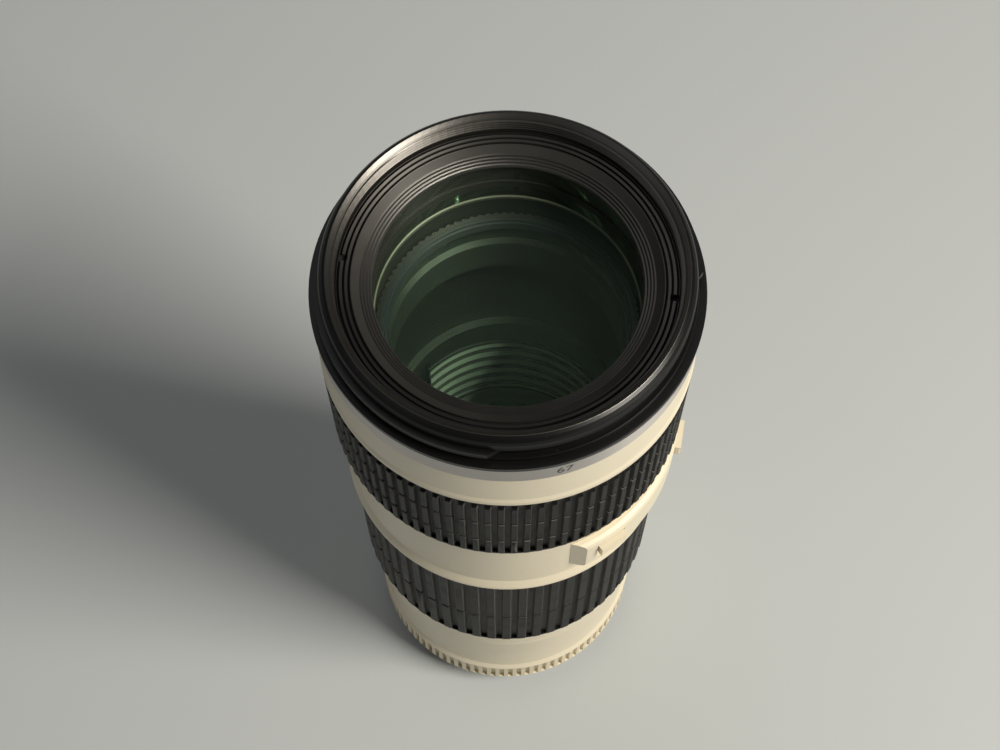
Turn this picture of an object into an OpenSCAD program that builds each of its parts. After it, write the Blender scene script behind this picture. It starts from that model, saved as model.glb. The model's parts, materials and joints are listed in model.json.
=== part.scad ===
// Telephoto zoom lens with internal zoom and internal focus, standing on its bayonet mount.
// Millimetres. The origin is the centre of the mount's seat face, and +Z runs to the front.

/* [Barrel lengths] */
// How far the mount plate stands proud of the rear barrel
mount_proud = 1.2; // [0.8:0.1:2]
// Rear barrel, from its notched rim to the zoom ring
rear_len = 34.8; // [31:0.1:40]
// White skirt of the zoom ring behind its rubber
skirt_len = 8.5; // [6:0.1:11]
// Rubber of the zoom ring
zoom_grip_len = 45.1; // [42:0.1:50]
// Centre barrel with the switch panel
band_len = 27; // [25.5:0.1:32]
// Rubber of the focus ring
focus_grip_len = 29.4; // [27:0.1:34]
// White front barrel
front_len = 12.4; // [11:0.1:15]
// Satin trim ring
trim_len = 5.2; // [4:0.1:7]
// Black filter ring, from its hood stop to the rim
nose_len = 8.4; // [8:0.1:10]

/* [Barrel walls] */
// Bore of the guide barrel, in which the zoom cells slide (radius)
guide_bore_r = 25.2; // [24.6:0.1:25.8]
// Wall of the guide barrel
guide_wall = 1.5; // [1.2:0.1:1.8]
// Wall of the cam barrel
cam_wall = 1.6; // [1.3:0.1:1.9]
// Wall of the focus guide, the wider front part of the guide barrel
focus_guide_wall = 1.2; // [1:0.1:1.4]
// Wall of the focus cam
focus_cam_wall = 1.3; // [1.1:0.1:1.5]
// Wall of the chassis tube
chassis_wall = 1.6; // [1.3:0.1:2]
// Wall of the zoom ring under its rubber
zoom_wall = 2.4; // [2:0.1:2.8]
// Rubber of the zoom ring, from the ring to the top of its ribs
zoom_rubber_t = 1.6; // [1.4:0.1:2]
// Depth of the focus ring, from the chassis to its rubber
focus_wall = 4.3; // [4:0.1:4.8]
// Rubber of the focus ring, from the ring to the top of its ribs
focus_rubber_t = 1.8; // [1.5:0.1:2.2]
// Wall of the centre barrel
band_wall = 1.6; // [1.3:0.1:1.9]

/* [Grips] */
// Ribs round the focus grip
focus_ribs = 90; // [72:1:100]
// Ribs round the zoom grip
zoom_ribs = 60; // [48:1:68]
// Depth of the grooves between the ribs
rib_depth = 1; // [0.6:0.1:1.1]
// Plain rim at each end of a grip
grip_rim = 0.8; // [0.5:0.1:1.2]
// Height of the small notches across the ribs
rib_notch = 0.55; // [0.3:0.05:0.9]
// Notches round the rear rim
rear_notches = 92; // [70:1:100]

/* [Front] */
// Filter thread, radius at its wall
filter_r = 33.5; // [33.3:0.05:33.7]
// Depth of the filter thread
filter_depth = 4; // [3:0.1:4.3]
// Clear radius of the front glass
front_clear_r = 26; // [25:0.1:26.4]
// Bulge of the front glass over its clear radius
front_bulge = 2.2; // [1.5:0.1:2.3]
// Arc covered by each hood lug
lug_arc = 91; // [60:1:100]

/* [Mechanism] */
// Turn of the zoom ring from long to short focal length
zoom_turn = 75; // [65:1:78]
// Travel of the compensator over that turn
comp_travel = 14; // [12:0.5:16]
// Turn of the focus cam from far to near, half the turn of the focus ring
focus_cam_turn = 70; // [60:1:72]
// Travel of the focus cell over that turn
focus_travel = 6.4; // [5.6:0.1:6.6]
// Radius of the rollers on the zoom cells
roller_r = 1.6; // [1.4:0.05:1.8]
// Radius of the rollers on the focus cell
focus_roller_r = 1.2; // [1:0.05:1.3]
// Open radius of the iris
iris_open_r = 14; // [13.5:0.1:14.5]
// Swing of each iris blade
blade_swing = 30; // [24:1:31]

/* [Switches] */
// Height of the switch panel over the centre barrel
panel_h = 2.3; // [2:0.1:3.2]
// Length of the panel along the lens
panel_len = 12.5; // [11:0.1:14.5]
// Travel of each switch
switch_travel = 3; // [2:0.1:3.6]

/* [Mount] */
// Throat radius that the bayonet claws pass
throat_r = 27; // [26.6:0.1:27.2]
// Outer radius of the mount plate
mount_r = 32.4; // [31.8:0.1:33]
// Length of the bayonet tube behind the seat
bayonet_len = 5.4; // [5:0.1:6.2]

/* [Hidden] */
$fn = 128;

// Clearances
seat = 0.05;      // between pieces of one body that rest on each other
run = 0.3;        // between round pieces that turn or slide on each other
slide = 0.25;     // between a lens cell and the bore that it slides in
ring_gap = 0.2;   // between the ends of a turning ring and its neighbours
slot_play = 0.2;  // between a roller and the sides of its slot, all told
over = 1;         // by which a cutter passes the face it cuts

// Turned edges
bevel = 0.4;      // on barrels and cells
fine_bevel = 0.3; // on rims and lips
shank = 0.7;      // shank of a roller, as a share of its radius

// Stations along the axis, from the mount to the rim
z_rear0 = mount_proud;
z_rear1 = z_rear0 + rear_len;
z_grip0 = z_rear1 + skirt_len;
z_grip1 = z_grip0 + zoom_grip_len;
z_band1 = z_grip1 + band_len;
z_focus1 = z_band1 + focus_grip_len;
z_front1 = z_focus1 + front_len;
z_trim1 = z_front1 + trim_len;
z_nose1 = z_trim1 + nose_len;

// Radii of the nested tubes, from the bore outwards
cell_r = guide_bore_r - slide;
guide_r = guide_bore_r + guide_wall;
cam_in = guide_r + run;
cam_r = cam_in + cam_wall;
focus_guide_in = cam_in + 0.1;
focus_guide_r = focus_guide_in + focus_guide_wall;
focus_cam_in = focus_guide_r + run;
focus_cam_r = focus_cam_in + focus_cam_wall;
chassis_in = max(focus_cam_r, cam_r) + run;
chassis_r = chassis_in + chassis_wall;
ring_in = chassis_r + run;
zoom_r = ring_in + zoom_wall;
zoom_skirt_r = zoom_r + 0.35;
zoom_grip_r = zoom_r + zoom_rubber_t;
focus_r = ring_in + focus_wall;
focus_grip_r = focus_r + focus_rubber_t;
band_r = focus_r - 0.2;
band_in = band_r - band_wall;
band_lip_r = band_r + 1;

// Mount
plate_t = 2.4;
claw_n = 3;
claw_arc = 58;
claw_t = 1.6;
claw_gap = 2.4;
claw_r = throat_r - seat;
tube_r = throat_r - 1.6;
tube_wall = 1.8;
tube_in = tube_r - tube_wall;
relief_r = claw_r + 0.3;
relief_t = 0.35;
screw_n = 4;
screw_r = 1;
screw_head_r = 1.9;
screw_head_t = 1;
screw_sink = 0.1;
screw_slot_w = 0.4;
screw_slot_t = 0.6;
screw_len = 4.6;
screw_pcd_r = relief_r + screw_head_r + 0.25;
lock_hole_r = 1.3;
lock_hole_t = 1.8;
index_r = 1.4;
foot_t = 3;
foot_in = throat_r - 1;

// Rear barrel: a notched rim round the mount, a waist and a flare up to the zoom ring
rear_rim_r = max(mount_r + 1.9, chassis_r + 2.5);
rear_top_r = zoom_r + 0.2;
rear_waist_r = rear_top_r - 1.3;
rear_foot = [0.6, 0.8];
rear_notch_z0 = z_rear0 + rear_foot[1];
rear_notch_z1 = rear_notch_z0 + 7.5;
rear_notch_t = 0.9;
rear_tooth_w = 1.15;
rear_flare_z = z_rear0 + 14.5;
z_index = z_rear0 + 12.5;
index_sink = 0.7;
index_proud = 0.3;

// Contacts and circuit board
contact_n = 8;
contact_step = 6;
contact_az = -90;
contact_r = 0.8;
contact_len = 2.1;
contact_sink = 0.3;
block_w = 3.4;
block_arc = 54;
board_t = 1.2;
chip = [5, 6, 1.6];
chip_az = [10, 75, 150, 235, 300];

// Relay group and rear glass
relay_flange_t = 3;
z_relay = 18;
relay_tube_r = 17;
relay_glass_r = 15;
relay_glass_t = 3;
relay_bulge = 1.8;
z_relay_glass = z_relay - 3;
rear_glass_r = 14.2;
rear_glass_t = 4;
rear_bulge = 0.9;
rear_hollow = 0.8;
z_rear_glass = plate_t + 0.6;
baffle_in = rear_glass_r + 0.8;
baffle_t = 1;

// Ring motor and its differential, stacked on the floor of the centre barrel
band_floor = 1.5;
stator_t = 4.5;
stator_teeth = 48;
tooth_slot_w = 0.6;
tooth_slot_t = 1.6;
rotor_t = 2.5;
spindle_roller_r = 1.6;
axle_r = 0.5;
axle_inset = 0.4;
z_stator = z_grip1 + band_floor + seat;
z_rotor = z_stator + stator_t + seat;
z_spindle = z_rotor + rotor_t + seat + spindle_roller_r;
z_skirt = z_spindle + spindle_roller_r + seat;
carrier_t = 2.2;
scale_t = 0.4;
scale_r = band_in - run;
scale_in = scale_r - scale_t;
skirt_r = scale_in - run;
key_r = 0.85;
key_turn_play = 4;

// Focus unit
z_focus_cam = z_spindle - carrier_t / 2;
step_t = 1.5;
z_step = z_focus_cam - run - step_t;
z_cell_front = z_front1 - 5;
z_chassis1 = z_front1 - 1.4;
focus_cell_r = focus_guide_in - slide;
focus_cell_len = 18;
focus_cell_wall = 1.6;
focus_roller_inset = 1.4;
z_focus_cell = z_cell_front - run - focus_travel - focus_cell_len;
z_focus_roller = z_focus_cell + 8.1;
focus_glass_r = focus_cell_r - focus_cell_wall;
focus_glass_t = 5;
focus_bulge = 2;
focus_hollow = 1.6;
focus_seat_w = 1;
focus_retainer_t = 2.4;
focus_retainer_w = 1.4;
focus_retainer_r = focus_glass_r + 0.4;
z_focus_seat = z_focus_cell + focus_cell_len - focus_retainer_t - focus_glass_t - 3 * seat;
focus_web = 4;
focus_ring_wall = 1.3;

// Zoom unit
z_iris = z_relay + relay_flange_t + seat;
cell_len = 11;
cell_floor = 2;
cell_seat_w = 1;
cell_mouth = 1.6;
z_comp = z_iris + 14.5;
z_var = z_comp + comp_travel + 8;
z_cam0 = z_comp - 6;
z_cam1 = z_step - run;
cam_end = 3;
var_travel = z_cam1 - cam_end - roller_r - z_var;
roller_inset = 2;
roller_end_r = cam_r - 0.3;
roller_az = 20;
zoom_key_r = 2;
zoom_key_cover = 0.8;
z_zoom_key = z_grip1 - 10;
// Half way between two variator slots at the height of the keys
zoom_key_az = roller_az + 60 - zoom_turn * (z_zoom_key - z_var) / var_travel;
variator_glass_r = cell_r - 3.2;
variator_glass_t = 5.5;
variator_bulge = -2.6;
variator_hollow = 1.6;
compensator_glass_r = cell_r - 4.2;
compensator_glass_t = 3.4;
compensator_bulge = 2.4;
trap_pitch = 4.8;
trap_w = 1.5;
trap_t = 0.6;
trap_end = 2;

// Iris
blade_n = 8;
blade_t = 0.2;
blade_pitch = 0.3;
blade_lever = 2.55;
blade_neck_w = 1.9;
blade_az = [-7, 72];
iris_floor = 1;
iris_rim_in = cell_r - 0.65;
pivot_r = iris_rim_in - 1;
drive_r = pivot_r - blade_lever;
blade_r = drive_r - 0.65;
pin_r = 0.4;
pin_play = 0.1;
pin_out_r = norm([pivot_r - blade_lever * cos(blade_swing), blade_lever * sin(blade_swing)]);
z_blade = z_iris + iris_floor + run;
z_iris_ring = z_blade + blade_n * blade_pitch + 0.1;
iris_ring_t = 1;
iris_ring_w = 1.5;
z_iris_cover = z_iris_ring + iris_ring_t + run;
iris_cover_t = 1;

// Front group
nose_bore_r = filter_r - 0.5;
nose_tube_r = max(chassis_r + 2.2, nose_bore_r + 1);
nose_r = max(focus_grip_r - 0.2, filter_r + 4.5);
retainer_r = nose_bore_r - 0.1;
retainer_set = 0.3;
z_retainer1 = z_nose1 - filter_depth - retainer_set;
front_flange_t = 1;
front_glass_r = front_clear_r + 0.9;
front_glass_t = 6;
z_glass_edge = z_retainer1 - 2.35;
z_front_glass = z_glass_edge - front_glass_t;
front_cell_r = (front_glass_r + retainer_r) / 2;
front_tail_r = min(front_cell_r, chassis_in - seat);
second_glass_r = min(front_glass_r - 0.3, front_tail_r - 1);
second_lip_w = 0.5;
second_lip_t = 0.6;

// Switch panel and distance window
panel_az = [-68, 4];
panel_lean = 4.5;
panel_edge = 1.2;
panel_z = z_band1 - 12.6;
switch_az = [-54, -10];
knob_w = 6.8;
knob_len = 3.6;
knob_h = 2.1;
knob_groove = 0.4;
knob_groove_step = 0.95;
switch_pit = 1.2;
dimple_az = -72.3;
dimple_z = panel_z - 2.8;
dimple_r = 0.4;
dimple_t = 0.8;
window_az = 40;
window_arc = 26;
window_len = 8;
window_t = 0.8;
window_sink = 0.1;
window_z = z_skirt + 8;

function polar(r, a) = [r * cos(a), r * sin(a)];
function arc_deg(width, r) = width / r * 180 / PI;

// Outline of a ring with flat-topped ribs: each rib has a foot and a narrower top
function rib_outline(n, r_root, r_top, foot_w, top_w) = [
    for (i = [0:n - 1])
        let (a = 360 / n * i, foot = arc_deg(foot_w, r_root) / 2, top = arc_deg(top_w, r_top) / 2)
            each [
                polar(r_root, a - foot), polar(r_top, a - top),
                polar(r_top, a + top), polar(r_root, a + foot)
            ]
];

// Points of a spherical cap's profile from the rim at (r, z) to the vertex at (0, z + bulge)
function cap(r, z, bulge, steps = 12) =
    let (ball = (r * r + bulge * bulge) / (2 * abs(bulge)), s = sign(bulge), half = asin(r / ball))
        [
            for (i = [0:steps])
                let (a = half * (1 - i / steps))
                    [ball * sin(a), z + bulge - s * ball * (1 - cos(a))]
        ];

module revolve(profile) {
    rotate_extrude() polygon(profile);
}

module tube(r_in, r_out, z0, z1) {
    revolve([[r_in, z0], [r_out, z0], [r_out, z1], [r_in, z1]]);
}

module sector(r_in, r_out, z0, z1, a0, a1) {
    rotate([0, 0, a0])
        rotate_extrude(angle = a1 - a0)
            polygon([[r_in, z0], [r_out, z0], [r_out, z1], [r_in, z1]]);
}

module radial_pin(r0, r1, z, a, r) {
    rotate([0, 0, a])
        translate([r0, 0, z])
            rotate([0, 90, 0])
                cylinder(r = r, h = r1 - r0);
}

module at_thirds(a) {
    for (k = [0:2])
        rotate([0, 0, a + 120 * k])
            children();
}

module at_screws() {
    for (k = [0:screw_n - 1])
        rotate([0, 0, 360 / screw_n * (k + 0.5)])
            translate([screw_pcd_r, 0, 0])
                children();
}

// Slot that a roller follows while its tube turns by turn and the roller rises by travel
module helix_slot(r_in, r_out, z0, travel, turn, r) {
    end = r + slot_play;
    lift = atan(travel / (turn * PI / 180 * r_out));
    half = arc_deg((2 * r + slot_play) / sin(lift), r_in) / 2;
    far = (r_out + over) / cos(half);
    near = r_in - over;
    rotate([0, 0, turn * end / travel])
        translate([0, 0, z0 - end])
            linear_extrude(height = travel + 2 * end, twist = turn * (travel + 2 * end) / travel,
                           slices = 18, segments = 4)
                polygon([polar(near, -half), polar(far, -half), polar(far, half), polar(near, half)]);
}

module straight_slot(r_in, r_out, z0, travel, r) {
    width = 2 * r + slot_play;
    end = r + slot_play;
    translate([r_in - over, -width / 2, z0 - end])
        cube([r_out - r_in + 2 * over, width, travel + 2 * end]);
}

// Rubber sleeve with ribs between two lower plain rims of their own lengths, and notches across the ribs
module ribbed_grip(r_in, r_out, z0, z1, n, foot_share, top_share, notch_at, front_rim) {
    pitch = 2 * PI * r_out / n;
    r_root = r_out - rib_depth;
    r_rim = r_out - rib_depth * 0.3;
    r_front = r_out - rib_depth * 0.6;
    r_notch = r_out - rib_depth * 0.6;
    difference() {
        union() {
            translate([0, 0, z0 + grip_rim])
                linear_extrude(height = z1 - z0 - grip_rim - front_rim)
                    polygon(rib_outline(n, r_root, r_out, pitch * foot_share, pitch * top_share));
            translate([0, 0, z0])
                cylinder(r = r_rim, h = grip_rim);
            translate([0, 0, z1 - front_rim])
                cylinder(r = r_front, h = front_rim);
        }
        translate([0, 0, z0 - over])
            cylinder(r = r_in, h = z1 - z0 + 2 * over);
        for (f = notch_at)
            let (z = z1 - f * (z1 - z0))
                tube(r_notch, r_out + over, z - rib_notch / 2, z + rib_notch / 2);
    }
}

module mount_plate() {
    color("silver") difference() {
        union() {
            revolve([
                [tube_in, -bayonet_len], [tube_r - bevel, -bayonet_len], [tube_r, -bayonet_len + bevel],
                [tube_r, relief_t], [relief_r, relief_t], [relief_r, 0], [mount_r - fine_bevel, 0],
                [mount_r, fine_bevel], [mount_r, plate_t], [tube_in, plate_t]
            ]);
            for (k = [0:claw_n - 1])
                let (a = 360 / claw_n * k)
                    sector(tube_r - bevel / 2, claw_r, -claw_gap - claw_t, -claw_gap, a, a + claw_arc);
        }
        at_screws() {
            translate([0, 0, -over])
                cylinder(r = screw_r + seat, h = plate_t + 2 * over);
            translate([0, 0, -over])
                cylinder(r = screw_head_r + seat, h = over + screw_sink + screw_head_t);
        }
        rotate([0, 0, window_az - 60])
            translate([screw_pcd_r, 0, -over])
                cylinder(r = lock_hole_r, h = over + lock_hole_t);
    }
}

// Screws with a cross slot in their heads
module mount_screws() {
    slot_len = screw_head_r * 1.2;
    color("gray") at_screws()
        difference() {
            union() {
                translate([0, 0, screw_sink])
                    cylinder(r = screw_head_r, h = screw_head_t);
                translate([0, 0, screw_head_t])
                    cylinder(r = screw_r, h = screw_len - screw_head_t);
            }
            for (a = [0, 90])
                rotate([0, 0, a])
                    translate([-slot_len / 2, -screw_slot_w / 2, -over])
                        cube([slot_len, screw_slot_w, over + screw_slot_t]);
        }
}

module mount_index() {
    color("red")
        radial_pin(rear_waist_r - index_sink, rear_waist_r + index_proud, z_index, window_az, index_r);
}

module rear_barrel() {
    in = chassis_r + seat;
    z_recess = plate_t + seat;
    color("ivory") difference() {
        revolve([
            [in, z_recess], [mount_r + seat, z_recess], [mount_r + seat, z_rear0],
            [rear_rim_r - rear_foot[0], z_rear0], [rear_rim_r, rear_notch_z0],
            [rear_rim_r, rear_notch_z1 + 0.4], [rear_waist_r + 0.15, rear_notch_z1 + 1.9],
            [rear_waist_r, rear_flare_z],
            [rear_waist_r + 0.1, rear_flare_z + 6], [rear_top_r - bevel, z_rear1 - 1.6],
            [rear_top_r - 0.1, z_rear1 - 0.5], [rear_top_r - bevel, z_rear1], [in, z_rear1]
        ]);
        translate([0, 0, rear_notch_z0])
            linear_extrude(height = rear_notch_z1 - rear_notch_z0)
                difference() {
                    circle(r = rear_rim_r + over);
                    polygon(rib_outline(rear_notches, rear_rim_r - rear_notch_t, rear_rim_r + 0.2,
                                        rear_tooth_w, rear_tooth_w - 0.1));
                }
        radial_pin(rear_waist_r - index_sink - seat, rear_rim_r + over, z_index, window_az, index_r + seat);
    }
}

// Dark funnel round the rear glass, with a gap for the contact block
module rear_baffle() {
    z_low = -bayonet_len + 1.2;
    z_top = plate_t - baffle_t;
    half = block_arc / 2 + 1;
    color("#1c1c1c") difference() {
        revolve([
            [baffle_in, z_top], [tube_in - seat, z_top], [tube_in - seat, z_low],
            [tube_in - 1.2, z_low], [tube_in - 1.6, -0.6], [baffle_in, -0.2]
        ]);
        sector(tube_in - block_w - seat, tube_in + over, -bayonet_len, plate_t,
               contact_az - half, contact_az + half);
    }
}

module at_contacts() {
    for (k = [0:contact_n - 1])
        rotate([0, 0, contact_az + (k - (contact_n - 1) / 2) * contact_step])
            translate([tube_in - block_w / 2, 0, -bayonet_len])
                children();
}

module contact_block() {
    color("#262626") difference() {
        sector(tube_in - block_w, tube_in - seat, -bayonet_len + 2 * contact_sink, plate_t - baffle_t,
               contact_az - block_arc / 2, contact_az + block_arc / 2);
        at_contacts()
            cylinder(r = contact_r + seat, h = contact_sink + contact_len);
    }
}

module contact_pins() {
    color("gold") at_contacts()
        translate([0, 0, contact_sink])
            cylinder(r = contact_r, h = contact_len - seat);
}

module circuit_board() {
    z0 = plate_t + foot_t + 2 * seat;
    r_mid = (relay_tube_r + chassis_in) / 2;
    half = 22;
    color("darkgreen") difference() {
        union() {
            tube(relay_tube_r + 1.5, chassis_in - run, z0, z0 + board_t);
            for (a = chip_az)
                rotate([0, 0, a])
                    translate([r_mid - chip[0] / 2, -chip[1] / 2, z0 + board_t - seat])
                        cube(chip);
        }
        sector(relay_tube_r, chassis_in + over, z0 - over, z0 + 2 * chip[2] + over,
               contact_az - half, contact_az + half);
    }
}

// The tube that carries everything, with windows for the zoom and focus keys
module chassis_tube() {
    z0 = plate_t + seat;
    zoom_half = arc_deg(zoom_key_r, chassis_in) + key_turn_play;
    color("dimgray") difference() {
        revolve([
            [foot_in, z0], [chassis_r, z0], [chassis_r, z_chassis1],
            [chassis_in, z_chassis1], [chassis_in, z0 + foot_t], [foot_in, z0 + foot_t]
        ]);
        at_screws()
            cylinder(r = screw_r + seat, h = screw_len + seat);
        at_thirds(zoom_key_az)
            sector(chassis_in - over, chassis_r + over, z_zoom_key - zoom_key_r - run,
                   z_zoom_key + zoom_key_r + run, -zoom_half, zoom_turn + zoom_half);
        at_thirds(0)
            sector(chassis_in - over, chassis_r + over, z_spindle - key_r - run,
                   z_spindle + key_r + run, -key_turn_play, focus_cam_turn + key_turn_play);
    }
}

// Fixed barrel with straight slots and light traps: the zoom cells slide in its narrow bore,
// the focus cell in its wide one
module guide_barrel() {
    z_end = z_cell_front - run;
    z_trap = z_var + cell_len / 2 + trap_end;
    trap_n = floor((z_step - trap_end - z_trap) / trap_pitch);
    color("#2a2a2a") difference() {
        revolve([
            [guide_bore_r, z_iris], [guide_r, z_iris], [guide_r, z_step], [focus_guide_r, z_step],
            [focus_guide_r, z_end], [focus_guide_in, z_end],
            [focus_guide_in, z_step + step_t], [guide_bore_r, z_step + step_t]
        ]);
        at_thirds(roller_az)
            straight_slot(guide_bore_r, guide_r, z_var, var_travel, roller_r);
        at_thirds(roller_az + 60)
            straight_slot(guide_bore_r, guide_r, z_comp, comp_travel, roller_r);
        at_thirds(roller_az)
            straight_slot(focus_guide_in, focus_guide_r, z_focus_roller, focus_travel, focus_roller_r);
        for (k = [0:trap_n - 1])
            let (z = z_trap + k * trap_pitch)
                tube(guide_bore_r - over, guide_bore_r + trap_t, z, z + trap_w);
    }
}

// Turning barrel whose helical slots push the variator and the compensator along the guide slots
module cam_barrel() {
    color("#8a7a55") difference() {
        tube(cam_in, cam_r, z_cam0, z_cam1);
        at_thirds(roller_az)
            helix_slot(cam_in, cam_r, z_var, var_travel, zoom_turn, roller_r);
        at_thirds(roller_az + 60)
            helix_slot(cam_in, cam_r, z_comp, comp_travel, zoom_turn, roller_r);
        at_thirds(zoom_key_az)
            radial_pin(cam_in - over, cam_r + over, z_zoom_key, 0, zoom_key_r + seat);
    }
}

module zoom_keys() {
    color("silver") at_thirds(zoom_key_az)
        radial_pin(cam_in + 0.4, zoom_r - zoom_key_cover, z_zoom_key, 0, zoom_key_r);
}

module zoom_ring() {
    z0 = z_rear1 + ring_gap;
    z1 = z_grip1 - ring_gap;
    z_step_down = z_grip0 - seat;
    edge = 0.5;
    color("ivory") difference() {
        revolve([
            [ring_in, z0], [zoom_skirt_r - edge, z0], [zoom_skirt_r, z0 + edge],
            [zoom_skirt_r, z_step_down], [zoom_r, z_step_down], [zoom_r, z1], [ring_in, z1]
        ]);
        at_thirds(zoom_key_az)
            radial_pin(ring_in - over, zoom_r - zoom_key_cover + seat, z_zoom_key, 0, zoom_key_r + seat);
    }
}

module zoom_grip() {
    color("#202020")
        ribbed_grip(zoom_r + seat, zoom_grip_r, z_grip0, z_grip1 - ring_gap, zoom_ribs, 0.62, 0.48, [0.58],
                    grip_rim);
}

// A lens cell that slides in the guide barrel: a ring with a seat for its glass and holes for its rollers
module slide_cell(z, glass_r) {
    z0 = z - cell_len / 2;
    z1 = z + cell_len / 2;
    clear_r = glass_r - cell_seat_w;
    difference() {
        revolve([
            [clear_r, z0], [cell_r - bevel, z0], [cell_r, z0 + bevel], [cell_r, z1 - bevel],
            [cell_r - bevel, z1], [glass_r + cell_mouth, z1], [glass_r, z1 - cell_mouth],
            [glass_r, z0 + cell_floor], [clear_r, z0 + cell_floor - 0.8]
        ]);
        at_thirds(0)
            radial_pin(cell_r - roller_inset, cell_r + over, z, 0, roller_r * shank + seat);
    }
}

// Rollers with a thinner shank pressed into the cell
module cell_rollers(z, r, shank_r0, r0, r1) {
    at_thirds(0) {
        radial_pin(shank_r0, r0 + 2 * seat, z, 0, r * shank);
        radial_pin(r0, r1, z, 0, r);
    }
}

// A glass with a hollow or flat back at z0, a cylindrical edge and a domed or dished front
module lens(r, z0, edge_t, front_r, bulge, back_r, hollow) {
    color("lightblue")
        revolve(concat([[0, z0 + hollow], [back_r, z0], [r, z0], [r, z0 + edge_t]],
                       cap(front_r, z0 + edge_t, bulge)));
}

module variator_cell() {
    color("#303030") rotate([0, 0, roller_az]) slide_cell(z_var, variator_glass_r);
}

module variator_glass() {
    clear_r = variator_glass_r - cell_seat_w;
    lens(variator_glass_r - seat, z_var - cell_len / 2 + cell_floor + seat, variator_glass_t,
         clear_r, variator_bulge, clear_r - 2, variator_hollow);
}

module variator_rollers() {
    color("silver") rotate([0, 0, roller_az])
        cell_rollers(z_var, roller_r, cell_r - roller_inset + seat, cell_r + seat, roller_end_r);
}

module compensator_cell() {
    color("#303030") rotate([0, 0, roller_az + 60]) slide_cell(z_comp, compensator_glass_r);
}

module compensator_glass() {
    clear_r = compensator_glass_r - cell_seat_w;
    lens(compensator_glass_r - seat, z_comp - cell_len / 2 + cell_floor + seat, compensator_glass_t,
         clear_r, compensator_bulge, clear_r - 2, 0);
}

module compensator_rollers() {
    color("silver") rotate([0, 0, roller_az + 60])
        cell_rollers(z_comp, roller_r, cell_r - roller_inset + seat, cell_r + seat, roller_end_r);
}

// Cell that holds the relay glass and the rear glass, hung on the chassis by its flange
module relay_cell() {
    z0 = plate_t - baffle_t + seat;
    z1 = z_relay + relay_flange_t;
    z_rear_top = z_rear_glass + rear_glass_t + 1;
    rear_clear_r = rear_glass_r - 1;
    mouth = 0.6;
    color("#303030")
        revolve([
            [rear_clear_r, z0], [relay_tube_r, z0], [relay_tube_r, z_relay], [chassis_in - seat, z_relay],
            [chassis_in - seat, z1], [relay_glass_r + mouth, z1], [relay_glass_r, z1 - mouth],
            [relay_glass_r, z_relay_glass], [rear_clear_r, z_relay_glass], [rear_clear_r, z_rear_top],
            [rear_glass_r, z_rear_top], [rear_glass_r, z_rear_glass], [rear_clear_r, z_rear_glass - 0.4]
        ]);
}

module relay_glass() {
    lens(relay_glass_r - seat, z_relay_glass + seat, relay_glass_t, relay_glass_r - 1, relay_bulge,
         relay_glass_r - 2, 0);
}

module rear_glass() {
    lens(rear_glass_r - seat, z_rear_glass + seat, rear_glass_t, rear_glass_r - 1.2, rear_bulge,
         rear_glass_r - 3, rear_hollow);
}

module at_blades() {
    for (k = [0:blade_n - 1])
        rotate([0, 0, 360 / blade_n * k])
            children();
}

module iris_base() {
    in = iris_open_r + 0.6;
    r = guide_bore_r - seat;
    z1 = z_iris_cover - seat;
    z_floor = z_iris + iris_floor;
    color("#3a3a3a") difference() {
        revolve([
            [in, z_iris], [r, z_iris], [r, z1], [iris_rim_in, z1], [iris_rim_in, z_floor], [in, z_floor]
        ]);
        at_blades()
            translate([pivot_r, 0, z_iris - over])
                cylinder(r = pin_r + pin_play, h = iris_floor + 2 * over);
    }
}

module iris_cover() {
    r = guide_bore_r - seat;
    z1 = z_iris_cover + iris_cover_t;
    color("#3a3a3a")
        revolve([[iris_open_r, z_iris_cover], [r, z_iris_cover], [r, z1], [iris_open_r + bevel, z1]]);
}

// Ring whose radial slots swing all the blades by their drive pins
module iris_ring() {
    slot_w = 2 * (pin_r + pin_play);
    slot_len = slot_w + pin_out_r - drive_r + pin_play;
    color("#6a6a6a") difference() {
        tube(blade_r - iris_ring_w, iris_rim_in - 0.2, z_iris_ring, z_iris_ring + iris_ring_t);
        at_blades()
            translate([drive_r - slot_w / 2, -slot_w / 2, z_iris_ring - over])
                cube([slot_len, slot_w, iris_ring_t + 2 * over]);
    }
}

// One blade: a thin curved leaf on a pivot pin, with a drive pin that reaches up into the ring
module iris_blade(i) {
    z = z_blade + (i - 1) * blade_pitch;
    root_r = blade_r - 0.8;
    z_pin = z_iris + 0.1;
    color("#1a1a1a") rotate([0, 0, 360 / blade_n * (i - 1)]) {
        sector(iris_open_r, blade_r, z, z + blade_t, blade_az[0], blade_az[1]);
        translate([root_r, -blade_neck_w / 2, z])
            cube([pivot_r - root_r, blade_neck_w, blade_t]);
        translate([pivot_r, 0, z])
            cylinder(r = blade_neck_w / 2, h = blade_t);
        translate([pivot_r, 0, z_pin])
            cylinder(r = pin_r, h = z + blade_t / 2 - z_pin);
        translate([drive_r, 0, z])
            cylinder(r = pin_r, h = z_iris_ring + iris_ring_t - z);
    }
}

// White centre barrel: a shell with a floor that carries the motor, a flared lower lip, a window
// and a small dimple beside the switch panel
module band_shell() {
    z0 = z_grip1;
    z1 = z_band1;
    in = chassis_r + seat;
    edge = 0.5;
    color("ivory") difference() {
        revolve([
            [in, z0], [band_lip_r - fine_bevel, z0], [band_lip_r, z0 + fine_bevel],
            [band_lip_r - 0.1, z0 + 1], [band_r, z0 + 3.2], [band_r, z1 - edge], [band_r - edge, z1],
            [band_in, z1], [band_in, z0 + band_floor], [in, z0 + band_floor]
        ]);
        sector(band_in - over, band_lip_r + over, window_z - window_len / 2, window_z + window_len / 2,
               window_az - window_arc / 2, window_az + window_arc / 2);
        radial_pin(band_r - dimple_t, band_lip_r + over, dimple_z, dimple_az, dimple_r);
    }
}

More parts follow.
